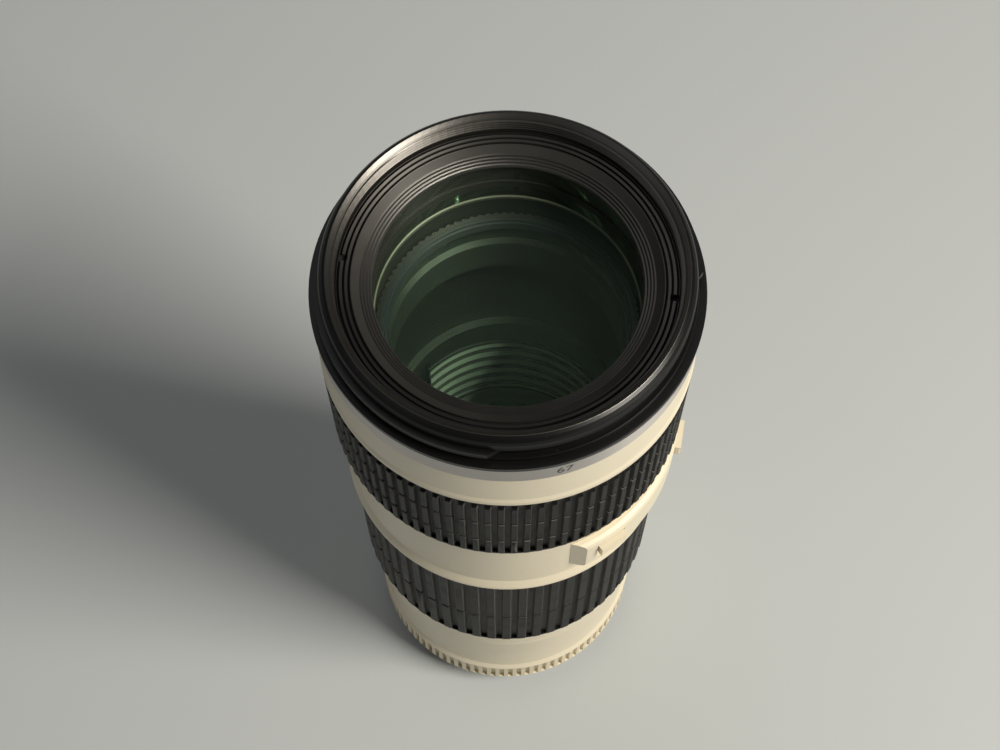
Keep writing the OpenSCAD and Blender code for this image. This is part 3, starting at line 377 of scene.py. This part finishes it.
def grip_rubber(name, notches, tops, floor_dust_and_highlight):
    """Dark rubber with a faint bloom; rib sides pale with wear and a painted highlight; painted shade round the
    notches, whose floors are pale with dust and a painted highlight.
    """
    c = bpy.context.scene.lens_colours
    s = Shade(name)
    bloom = s.noise(150.0, 4.0, 0.65).ramp(0.45, 0.8)
    grain = s.noise(3300.0)
    lint = s.noise(1150.0, 1.0).ramp(0.75, 0.82)
    z = s.height()
    up = s.upward().ramp(0.35, 0.8)
    pale_marks, dark = 0.0, 0.0
    for notch in notches:
        # The notch floors, pale with dust and a painted highlight.
        pale_marks = pale_marks + z.band(notch - 0.6 * MM, notch - 0.5 * MM, notch, notch + 0.1 * MM)
        # Painted shade round each notch, on faces that don't point up.
        dark = dark + z.band(notch - 0.3 * MM, notch - 0.2 * MM, notch + 0.8 * MM, notch + 1.0 * MM)
    dark = dark * s.radius().ramp(tops - 0.5 * MM, tops - 0.4 * MM)
    base = s.mix(lint * 0.3, s.mix(bloom * 0.5, c.rubber, c.rubber_dust), c.lint)
    # Pale rib sides: wear and a painted highlight.
    base = s.mix(s.sideways().ramp(0.2, 0.6) * (0.5 + bloom * 0.5), base, c.rib_side_wear_and_highlight)
    # Painted shade round the notches.
    base = s.mix(dark * (1.0 - up), base, c.notch_dark)
    # Pale notch floors on upward faces: dust and a painted highlight.
    base = s.mix(pale_marks * up * (0.5 + bloom * 0.4) * floor_dust_and_highlight, base, c.notch_dust_and_highlight)
    return s.set(Base_Color=base, Roughness=0.46 + bloom * 0.14 + dark * 0.4, Normal=s.bump(grain, 0.02 * MM),
                 Specular_IOR_Level=0.15)


def satin_black(name, mouth):
    """Black paint outside, turned metal inside the radius of the mouth."""
    c = bpy.context.scene.lens_colours
    s = Shade(name)
    lines = s.turned(0.12 * MM)
    cloud = s.noise(90.0, 3.0, 0.6)
    pale_marks = s.noise(1400.0, 1.0).ramp(0.76, 0.83)
    inside = 1.0 - s.radius().ramp(mouth, mouth + 0.1 * MM)
    base = s.mix(inside, s.mix(pale_marks * 0.3, c.black, c.lint), toned(c.retainer, 1.35))
    return s.set(Base_Color=base, Roughness=0.26 + cloud * 0.10 + lines * 0.05 + inside * 0.05,
                 Metallic=inside, Normal=s.bump(lines, 0.004 * MM), Specular_IOR_Level=0.3,
                 Anisotropic=0.3, Anisotropic_Rotation=ACROSS)


def turned_ring(name, top, grooves, lean):
    """Turned metal whose lands lean inward, with painted shade, black, on its steps' risers and in the grooves
    outside a radius.
    """
    c = bpy.context.scene.lens_colours
    s = Shade(name)
    lines = s.turned(0.16 * MM)
    cloud = s.noise(120.0, 3.0, 0.6)
    radius = s.radius()
    grooved = radius.ramp(grooves - 0.1 * MM, grooves)
    # Painted shade: the groove floors and the step risers are painted black.
    groove_shade_mask = (1.0 - s.height().ramp(top - 0.25 * MM, top - 0.12 * MM)) * grooved
    riser_shade_mask = (1.0 - s.upward().ramp(0.80, 0.95)) * (1.0 - grooved)
    dark = 1.0 - (1.0 - groove_shade_mask) * (1.0 - riser_shade_mask * 0.85)
    land = s.mix(cloud.ramp(0.4, 0.8) * 0.3, c.retainer, toned(c.retainer, 1.3))
    return s.set(Base_Color=s.mix(dark, land, c.groove_shade), Metallic=1.0 - dark,
                 Roughness=0.34 + cloud * 0.08 + dark * 0.4,
                 Normal=s.bump(radius * lean + lines * (0.006 * MM), 1.0),
                 Anisotropic=0.2, Anisotropic_Rotation=ACROSS)


def cell_black(name, low, high):
    """Black cell with a bright lip between two heights: bare turned metal, painted bright as a highlight on its
    upward faces.
    """
    c = bpy.context.scene.lens_colours
    s = Shade(name)
    lines = s.turned(0.16 * MM)
    cloud = s.noise(120.0, 3.0, 0.6)
    # Painted highlight: upward faces between the two heights are pale bare metal.
    lip_and_highlight = s.height().band(low, low + 0.02 * MM, high, high + 0.02 * MM) * s.upward().ramp(0.5, 0.8)
    base = s.mix(lip_and_highlight, s.mix(cloud * 0.4, c.anodised, toned(c.anodised, 1.6)), c.bare_lip_and_highlight)
    return s.set(Base_Color=base, Roughness=0.42 + cloud * 0.1, Metallic=lip_and_highlight, Normal=s.bump(lines, 0.006 * MM),
                 Anisotropic=0.5, Anisotropic_Rotation=ACROSS)


def black_anodising(name, colour):
    """Anodised metal with lathe lines."""
    s = Shade(name)
    lines = s.turned(0.16 * MM)
    cloud = s.noise(120.0, 3.0, 0.6)
    base = s.mix(cloud.ramp(0.4, 0.8) * 0.4, colour, toned(colour, 1.6))
    return s.set(Base_Color=base, Roughness=0.40 + cloud * 0.12, Normal=s.bump(lines, 0.006 * MM),
                 Anisotropic=0.75, Anisotropic_Rotation=ACROSS)


def light_trap(name, low, high, bore, grooves):
    """Black barrel with painted light, a paler tone, between two heights of its bore, and painted shade along the
    grooves there.
    """
    c = bpy.context.scene.lens_colours
    s = Shade(name)
    lines = s.turned(0.2 * MM)
    cloud = s.noise(140.0, 3.0, 0.6)
    z = s.height()
    land = 1.0 - s.radius().ramp(bore + 0.1 * MM, bore + 0.2 * MM)
    # Painted light: the band between the two heights of the bore is paler, standing in for the light on it.
    painted_light = z.band(low, low + 0.5 * MM, high - 0.5 * MM, high) * land
    for groove in grooves:
        # Painted shade along each groove.
        painted_light = painted_light * abs(z - groove).ramp(0.8 * MM, 1.4 * MM)
    pale = s.mix(cloud.ramp(0.35, 0.8) * 0.5, c.trap, toned(c.trap, 0.7))
    return s.set(Base_Color=s.mix(painted_light, c.anodised, pale), Roughness=0.5 + lines * 0.1,
                 Normal=s.bump(lines, 0.006 * MM))


def moulded_black(name):
    """Black plastic with a fine grain."""
    c = bpy.context.scene.lens_colours
    s = Shade(name)
    grain = s.noise(2600.0)
    cloud = s.noise(160.0, 3.0, 0.6)
    base = s.mix(cloud.ramp(0.4, 0.8) * 0.5, c.rubber, c.moulded)
    return s.set(Base_Color=base, Roughness=0.48 + grain * 0.12, Normal=s.bump(grain, 0.015 * MM))


def dry_film(name):
    """Matt black film of the iris blades."""
    c = bpy.context.scene.lens_colours
    s = Shade(name)
    cloud = s.noise(400.0, 3.0, 0.6)
    return s.set(Base_Color=s.mix(cloud, c.blade, c.blade_worn), Roughness=0.55 + cloud * 0.1)


def metal(name, colour, rough, pitch, depth=0.006 * MM, brushed=0.5, blackened=0.0):
    """Turned metal, blackened inside a radius where one is given."""
    s = Shade(name)
    lines = s.turned(pitch)
    cloud = s.noise(110.0, 3.0, 0.6)
    base = s.mix(cloud * 0.5 + lines * 0.35, colour, toned(colour, 0.86))
    if blackened:
        bare = s.radius().ramp(blackened, blackened + 0.1 * MM)
        base = s.mix(bare, bpy.context.scene.lens_colours.blacking, base)
    return s.set(Base_Color=base, Metallic=1.0, Roughness=rough + lines * 0.1 + cloud * 0.05,
                 Normal=s.bump(lines, depth), Anisotropic=brushed, Anisotropic_Rotation=ACROSS)


def solder_mask(name):
    """Green mask with paler tracks under it."""
    c = bpy.context.scene.lens_colours
    s = Shade(name)
    cloud = s.noise(700.0)
    base = s.mix(cloud.ramp(0.52, 0.58), c.board, toned(c.board, 1.7))
    return s.set(Base_Color=base, Roughness=0.35 + cloud * 0.1)


def enamel(name):
    """Red enamel of the mount index."""
    c = bpy.context.scene.lens_colours
    s = Shade(name)
    cloud = s.noise(900.0)
    base = s.mix(cloud * 0.3, c.red, toned(c.red, 0.7))
    return s.set(Base_Color=base, Roughness=0.25 + cloud * 0.08, Coat_Weight=0.3)


def ink(name, colour):
    """Printing ink, slightly worn."""
    s = Shade(name)
    cloud = s.noise(2400.0)
    base = s.mix(cloud.ramp(0.5, 0.8) * 0.4, colour, [v * 0.8 + 0.03 for v in colour])
    return s.set(Base_Color=base, Roughness=0.45 + cloud * 0.1)


def clear(name, tint, gloss=0.10, rough=0.02):
    """Coated glass: light passes straight through with a tint, and a Fresnel share is mirrored."""
    s = Shade(name, bare=True)
    smear = s.noise(60.0, 3.0, 0.6)
    facing = Socket(s, s.node("ShaderNodeFresnel", None, IOR=1.52).outputs[0])
    through = s.node("ShaderNodeBsdfTransparent", None, Color=tint)
    shine = s.node("ShaderNodeBsdfGlossy", None, Color=bpy.context.scene.lens_colours.coating, Roughness=rough)
    s.blend(facing * gloss * (0.85 + smear * 0.3), through, shine, s.out)
    return s.mat


def nodes_of(slot):
    return [frame["nodes"][p["node"]] for p in frame["record"]["subparts"] if p["material_slot"] == slot]


def dress(objects, material):
    if not objects:
        raise RuntimeError("no node to dress with " + material.name)
    for obj in objects:
        obj.data.materials.clear()
        obj.data.materials.append(material)


def dress_node(node, material):
    dress([frame["nodes"][node]], material)


def radius_of(node):
    low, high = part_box(node)
    return max(abs(low.x), high.x)


def middles(heights, reach=2.0 * MM):
    """The middle of each group of heights that lie within reach of each other."""
    groups = []
    for z in sorted(heights):
        if groups and z - groups[-1][0] < reach:
            groups[-1].append(z)
        else:
            groups.append([z])
    return [(g[0] + g[-1]) / 2 for g in groups]


def new_object(name, mesh, material, body):
    mesh.materials.clear()
    mesh.materials.append(material)
    obj = bpy.data.objects.new(name, mesh)
    bpy.context.scene.collection.objects.link(obj)
    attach(obj, body)
    return obj


def wrapped(mesh, radius, azimuth, height):
    """Bends a flat mesh round the axis, at an azimuth in degrees: x runs along the arc, y along the axis."""
    for v in mesh.vertices:
        a = math.radians(azimuth) + v.co.x / radius
        v.co = (radius * math.cos(a), radius * math.sin(a), height + v.co.y)
    return mesh


def flat_face(name, corners):
    """A mesh of one flat face, from its corners."""
    mesh = bpy.data.meshes.new(name)
    mesh.from_pydata([(x, y, 0.0) for x, y in corners], [], [tuple(range(len(corners)))])
    return mesh


def lettered(name, text, size):
    """A flat mesh of a printed number."""
    curve = bpy.data.curves.new(name, "FONT")
    curve.body = text
    curve.size = size
    curve.align_x = "CENTER"
    curve.align_y = "CENTER"
    flat = bpy.data.objects.new(name + "_flat", curve)
    bpy.context.scene.collection.objects.link(flat)
    graph = bpy.context.evaluated_depsgraph_get()
    mesh = bpy.data.meshes.new_from_object(flat.evaluated_get(graph))
    bpy.data.objects.remove(flat)
    bpy.data.curves.remove(curve)
    mesh.name = name
    return mesh


def ruled(name, width, length):
    """A flat mesh of a printed line along the axis."""
    w, h = width / 2, length / 2
    return flat_face(name, [(-w, -h), (w, -h), (w, h), (-w, h)])


class LENS_OT_white_pieces(bpy.types.Operator):
    """Cream paint on the barrels, the zoom ring and the switch panel, and a stopping in the centre barrel"""
    bl_idname = "lens.white_pieces"
    bl_label = "White pieces"

    def execute(self, context):
        sizes = context.scene.lens_sizes
        paint = cream_paint("cream_paint")
        dress(nodes_of("white_paint"), paint)
        dress(nodes_of("white_plastic"), cream_paint("cream_plastic"))
        bead = 1.0 * MM
        surface = radius_of("band_shell") - bead + sizes.print_lift
        sides = 24
        turns = [TURN * k / sides for k in range(sides)]
        edge = [(sizes.stopping * math.cos(a), sizes.stopping * math.sin(a)) for a in turns]
        disc = flat_face("band_stopping", edge)
        wrapped(disc, surface, STOPPING_AT, sizes.stopping_height)
        new_object("band_stopping", disc, paint, "barrel")
        return {"FINISHED"}


class LENS_OT_grips(bpy.types.Operator):
    """Rubber of the two grips, with rounded ribs"""
    bl_idname = "lens.grips"
    bl_label = "Grips"

    def execute(self, context):
        for name, shares, floor_dust_and_highlight in GRIPS:
            obj = frame["nodes"][name]
            low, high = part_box(name)
            notches = [high.z - share * (high.z - low.z) for share in shares]
            dress([obj], grip_rubber(name + "_rubber", notches, radius_of(name), floor_dust_and_highlight))
            weld = obj.modifiers.new("weld", "WELD")
            weld.merge_threshold = 0.002 * MM
            edge = obj.modifiers.new("edge", "BEVEL")
            edge.width = context.scene.lens_sizes.rib_edge
            edge.segments = 2
            edge.limit_method = "ANGLE"
            edge.angle_limit = math.radians(30.0)
        return {"FINISHED"}


class LENS_OT_front(bpy.types.Operator):
    """Black front ring, chamfered inside, with the turns of its filter thread"""
    bl_idname = "lens.front"
    bl_label = "Front ring"

    def execute(self, context):
        sizes = context.scene.lens_sizes
        paint = satin_black("satin_black", sizes.mouth)
        dress(nodes_of("black_paint"), paint)
        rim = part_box("filter_ring")[1].z
        mesh = self.chamfered(frame["nodes"]["filter_ring"], rim, sizes)
        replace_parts(new_object("filter_ring_chamfered", mesh, paint, "barrel"), "filter_ring")
        new_object("filter_thread", self.thread(rim, sizes), paint, "barrel")
        return {"FINISHED"}

    def chamfered(self, ring, rim, sizes):
        """A copy of the ring's mesh with the inner edge of its rim lowered."""
        reach, near_rim = 34.0 * MM, 0.4 * MM
        mesh = ring.data.copy()
        mesh.transform(ring.matrix_world)
        for v in mesh.vertices:
            if math.hypot(v.co.x, v.co.y) < reach and v.co.z > rim - near_rim:
                v.co.z -= sizes.rim_slope
        return mesh

    def thread(self, rim, sizes):
        """A helical ridge from the retaining ring up to the chamfer, fading out at both ends."""
        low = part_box("retaining_ring")[1].z + 0.3 * MM
        high = rim - 0.9 * MM
        count = int(sizes.thread_turns * sizes.thread_steps)
        rows = len(THREAD_PROFILE)
        verts, faces = [], []
        for i in range(count + 1):
            a = TURN * i / sizes.thread_steps
            fade = min(1.0, i / THREAD_FADE_STEPS, (count - i) / THREAD_FADE_STEPS)
            for depth, rise in THREAD_PROFILE:
                r = sizes.thread_root - sizes.thread_depth * fade * depth
                z = low + sizes.thread_pitch * (i / sizes.thread_steps + rise)
                verts.append((r * math.cos(a), r * math.sin(a), min(z, high)))
        for i in range(count):
            for j in range(rows * i, rows * i + rows - 1):
                faces.append((j, j + rows, j + rows + 1, j + 1))
        mesh = bpy.data.meshes.new("filter_thread")
        mesh.from_pydata(verts, [], faces)
        return mesh


class LENS_OT_trim(bpy.types.Operator):
    """Satin trim ring with the plain number of the filter's size"""
    bl_idname = "lens.trim"
    bl_label = "Trim ring"

    def execute(self, context):
        c, sizes = context.scene.lens_colours, context.scene.lens_sizes
        dress(nodes_of("satin_aluminium"),
              metal("satin_aluminium", c.silver, rough=0.30, pitch=0.1 * MM, depth=0.004 * MM, brushed=0.85))
        low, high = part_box("trim_ring")
        mesh = lettered("trim_number", "67", sizes.trim_text)
        wrapped(mesh, radius_of("trim_ring") + sizes.print_lift, TRIM_NUMBER_AT, (low.z + high.z) / 2)
        new_object("trim_number", mesh, ink("trim_ink", c.print_dark), "barrel")
        return {"FINISHED"}


class LENS_OT_glasses(bpy.types.Operator):
    """Coated glasses and the clear distance window"""
    bl_idname = "lens.glasses"
    bl_label = "Glasses"

    def execute(self, context):
        c = context.scene.lens_colours
        dress(nodes_of("glass"), clear("coated_glass", c.glass))
        dress_node("front_glass", clear("front_glass", c.front_glass))
        dress(nodes_of("window"), clear("clear_window", c.window, gloss=0.9, rough=0.08))
        return {"FINISHED"}


class LENS_OT_black_pieces(bpy.types.Operator):
    """Anodised cells, moulded pieces and iris blades"""
    bl_idname = "lens.black_pieces"
    bl_label = "Black pieces"

    def execute(self, context):
        c = context.scene.lens_colours
        dress(nodes_of("black_anodised"), black_anodising("black_anodising", c.anodised))
        grooves = radius_of("retaining_ring") - 2.95 * MM
        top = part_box("retaining_ring")[1].z
        dress_node("retaining_ring", turned_ring("turned_ring", top, grooves, lean=0.48))
        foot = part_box("front_cell")[0].z
        dress_node("front_cell", cell_black("front_cell_black", foot + 0.3 * MM, foot + 0.7 * MM))
        dress_node("focus_retainer", black_anodising("focus_retainer_black", c.inner_ring))
        self.trap(context.scene.lens_sizes)
        dress(nodes_of("black_plastic"), moulded_black("moulded_black"))
        dress(nodes_of("blade_black"), dry_film("dry_film"))
        return {"FINISHED"}

    def trap(self, sizes):
        """The guide barrel, whose grooves are found by the depth of their floors under the bore."""
        low, high = sizes.trap_low, sizes.trap_high
        points = [(math.hypot(v.co.x, v.co.y), v.co.z) for v in frame["nodes"]["guide_barrel"].data.vertices]
        bore = min(r for r, z in points)
        floors = [z for r, z in points if low < z < high and 0.5 * MM < r - bore < 0.7 * MM]
        dress_node("guide_barrel", light_trap("light_trap", low, high, bore, middles(floors)))


class LENS_OT_metals(bpy.types.Operator):
    """Bayonet, steel, brass and gold pieces"""
    bl_idname = "lens.metals"
    bl_label = "Metals"

    def execute(self, context):
        c = context.scene.lens_colours
        dress(nodes_of("bayonet_steel"), metal("bayonet_steel", c.steel, rough=0.20, pitch=0.14 * MM))
        dress(nodes_of("plain_steel"), metal("plain_steel", c.steel, rough=0.32, pitch=0.18 * MM))
        dress(nodes_of("brass"), metal("machined_brass", c.brass, rough=0.30, pitch=0.2 * MM))
        for name in ("cam_barrel", "focus_cam"):
            inside = radius_of(name) - 0.6 * MM
            dress_node(name, metal(name + "_brass", c.brass, rough=0.30, pitch=0.2 * MM, blackened=inside))
        dress(nodes_of("gold_contacts"), metal("gold_plate", c.gold, rough=0.18, pitch=0.2 * MM, depth=0.002 * MM))
        return {"FINISHED"}


class LENS_OT_small_pieces(bpy.types.Operator):
    """Circuit board and mount index"""
    bl_idname = "lens.small_pieces"
    bl_label = "Small pieces"

    def execute(self, context):
        dress(nodes_of("board"), solder_mask("solder_mask"))
        dress(nodes_of("index_red"), enamel("index_enamel"))
        return {"FINISHED"}


class LENS_OT_scales(bpy.types.Operator):
    """Distance scale behind its window and focal lengths on the zoom ring, as plain numbers"""
    bl_idname = "lens.scales"
    bl_label = "Scales"

    def execute(self, context):
        c, sizes = context.scene.lens_colours, context.scene.lens_sizes
        dress(nodes_of("scale_paint"), moulded_black("scale_film"))
        pale, dark = ink("pale_ink", c.print_pale), ink("dark_ink", c.print_dark)
        low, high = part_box("distance_window")
        middle = (low.z + high.z) / 2
        drum = radius_of("distance_scale") + sizes.print_lift
        for number, turn in DISTANCES:
            tag, azimuth = number.replace(".", "_"), INDEX_AT - turn
            mesh = lettered("distance_" + tag, number, sizes.scale_text)
            wrapped(mesh, drum, azimuth, middle + 1.2 * MM)
            new_object(mesh.name, mesh, pale, "focus_cam")
            mesh = ruled("distance_tick_" + tag, sizes.index_line * 0.6, 1.4 * MM)
            wrapped(mesh, drum, azimuth, middle - 1.4 * MM)
            new_object(mesh.name, mesh, pale, "focus_cam")
        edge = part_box("zoom_ring")[0].z
        skirt = sizes.skirt + sizes.print_lift
        for number, turn in FOCAL_LENGTHS:
            azimuth = INDEX_AT - turn
            mesh = lettered("focal_" + number, number, sizes.zoom_text)
            wrapped(mesh, skirt, azimuth, edge + 5.2 * MM)
            new_object(mesh.name, mesh, dark, "zoom_ring")
            mesh = ruled("focal_tick_" + number, sizes.index_line, 1.6 * MM)
            wrapped(mesh, skirt, azimuth, edge + 1.6 * MM)
            new_object(mesh.name, mesh, dark, "zoom_ring")
        return {"FINISHED"}


class LENS_OT_stage(bpy.types.Operator):
    """Floor, lamps, even light and the camera"""
    bl_idname = "lens.stage"
    bl_label = "Stage"

    def execute(self, context):
        st = context.scene.lens_stage
        floor = self.floor(st)
        lamps = [
            self.lamp("key", st, size=0.46, place=(0.77, -0.33, 0.88), colour=(1.0, 0.95, 0.86)),
            self.snooted("snoot", st, place=(0.325, -0.244, 1.08), colour=(1.0, 0.96, 0.89)),
            self.lamp("fill", st, size=0.7, place=(-0.75, -0.35, 0.75), colour=(0.95, 0.97, 1.0)),
            self.lamp("top", st, size=0.9, place=(-0.25, 0.50, 1.05), colour=(0.96, 0.98, 1.0)),
        ]
        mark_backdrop(floor, *lamps, self.camera(st))
        context.scene.world = self.surroundings(st)
        context.scene.view_settings.view_transform = "Standard"
        context.scene.cycles.transparent_max_bounces = st.glass_surfaces
        return {"FINISHED"}

    def floor(self, st):
        """A pale floor under the lens, which fades to the backdrop where it is seen far away."""
        half = st.floor_size / 2
        mesh = flat_face("floor", [(-half, -half), (half, -half), (half, half), (-half, half)])
        mesh.transform(Matrix.Translation((0.0, 0.0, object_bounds()[0][2])))
        s = Shade("floor")
        cloud = s.noise(3.0, 4.0, 0.6)
        grain = s.noise(900.0)
        base = s.mix(cloud * 0.6, st.floor, toned(st.floor, 0.93))
        mesh.materials.append(s.set(Base_Color=base, Roughness=0.6 + grain * 0.1))
        far = s.node("ShaderNodeEmission", None, Color=st.backdrop, Strength=1.0)
        seen = s.rays("Camera", "Glossy", "Transmission").ramp(0.0, 1.0)
        s.blend(s.radius().ramp(st.fade_from, st.fade_to) * seen, s.bsdf, far, s.out)
        obj = bpy.data.objects.new("floor", mesh)
        bpy.context.scene.collection.objects.link(obj)
        return obj

    def surroundings(self, st):
        """Even light on the lens, and the backdrop for the camera."""
        world = bpy.data.worlds.new("studio")
        world.use_nodes = True
        w = Tree(world.node_tree)
        light = w.node("ShaderNodeBackground", None, Color=(1.0, 0.985, 0.96), Strength=st.ambient)
        back = w.node("ShaderNodeBackground", None, Color=st.backdrop, Strength=1.0)
        w.blend(w.rays("Camera"), light, back, w.node("ShaderNodeOutputWorld"))
        return world

    def lamp(self, name, st, size, place, colour):
        """A broad lamp, aimed at the middle of the lens."""
        data = bpy.data.lights.new(name, "AREA")
        data.size = size
        return self.hung(data, getattr(st, name), place, colour, st.lamp_aim)

    def snooted(self, name, st, place, colour):
        """A narrow lamp into the mouth, whose cone stays inside the front ring."""
        data = bpy.data.lights.new(name, "SPOT")
        data.spot_size = st.snoot_spread
        data.spot_blend = 0.3
        data.shadow_soft_size = 0.008
        return self.hung(data, getattr(st, name), place, colour, st.snoot_aim)

    def hung(self, data, power, place, colour, height):
        """A lamp at a place, aimed at a height on the axis."""
        data.energy = power
        data.color = colour
        obj = bpy.data.objects.new(data.name, data)
        obj.location = place
        aim = Vector((0.0, 0.0, height)) - Vector(place)
        obj.rotation_euler = aim.to_track_quat("-Z", "Y").to_euler()
        bpy.context.scene.collection.objects.link(obj)
        return obj

    def camera(self, st):
        data = bpy.data.cameras.new("camera")
        data.sensor_width = 36.0
        data.sensor_fit = "HORIZONTAL"
        data.lens = st.focal
        data.clip_start = 0.01
        obj = bpy.data.objects.new("camera", data)
        ahead = Vector(st.ahead).normalized()
        right = Vector(st.right)
        right = (right - ahead * right.dot(ahead)).normalized()
        turn = Matrix((right, right.cross(ahead), -ahead)).transposed()
        obj.matrix_world = Matrix.Translation(Vector(st.eye)) @ turn.to_4x4()
        bpy.context.scene.collection.objects.link(obj)
        bpy.context.scene.camera = obj
        return obj


class LENS_PT_panel(bpy.types.Panel):
    """Operators and sizes of the lens"""
    bl_label = "Lens"
    bl_idname = "LENS_PT_panel"
    bl_space_type = "VIEW_3D"
    bl_region_type = "UI"
    bl_category = "Lens"

    def draw(self, context):
        for cls in OPERATORS:
            self.layout.operator(cls.bl_idname)
        for group in (context.scene.lens_colours, context.scene.lens_sizes, context.scene.lens_stage):
            box = self.layout.box()
            for key in group.__annotations__:
                box.prop(group, key)


GROUPS = {"lens_colours": LensColours, "lens_sizes": LensSizes, "lens_stage": LensStage}
OPERATORS = (
    LENS_OT_white_pieces, LENS_OT_grips, LENS_OT_front, LENS_OT_trim, LENS_OT_glasses, LENS_OT_black_pieces,
    LENS_OT_metals, LENS_OT_small_pieces, LENS_OT_scales, LENS_OT_stage,
)


def register():
    for cls in (*GROUPS.values(), *OPERATORS, LENS_PT_panel):
        bpy.utils.register_class(cls)
    for key, cls in GROUPS.items():
        setattr(bpy.types.Scene, key, PointerProperty(type=cls))


def unregister():
    for key in GROUPS:
        delattr(bpy.types.Scene, key)
    for cls in reversed((*GROUPS.values(), *OPERATORS, LENS_PT_panel)):
        bpy.utils.unregister_class(cls)


def main():
    register()
    bpy.ops.lens.white_pieces()
    bpy.ops.lens.grips()
    bpy.ops.lens.front()
    bpy.ops.lens.trim()
    bpy.ops.lens.glasses()
    bpy.ops.lens.black_pieces()
    bpy.ops.lens.metals()
    bpy.ops.lens.small_pieces()
    bpy.ops.lens.scales()
    bpy.ops.lens.stage()


if __name__ == "__main__":
    main()
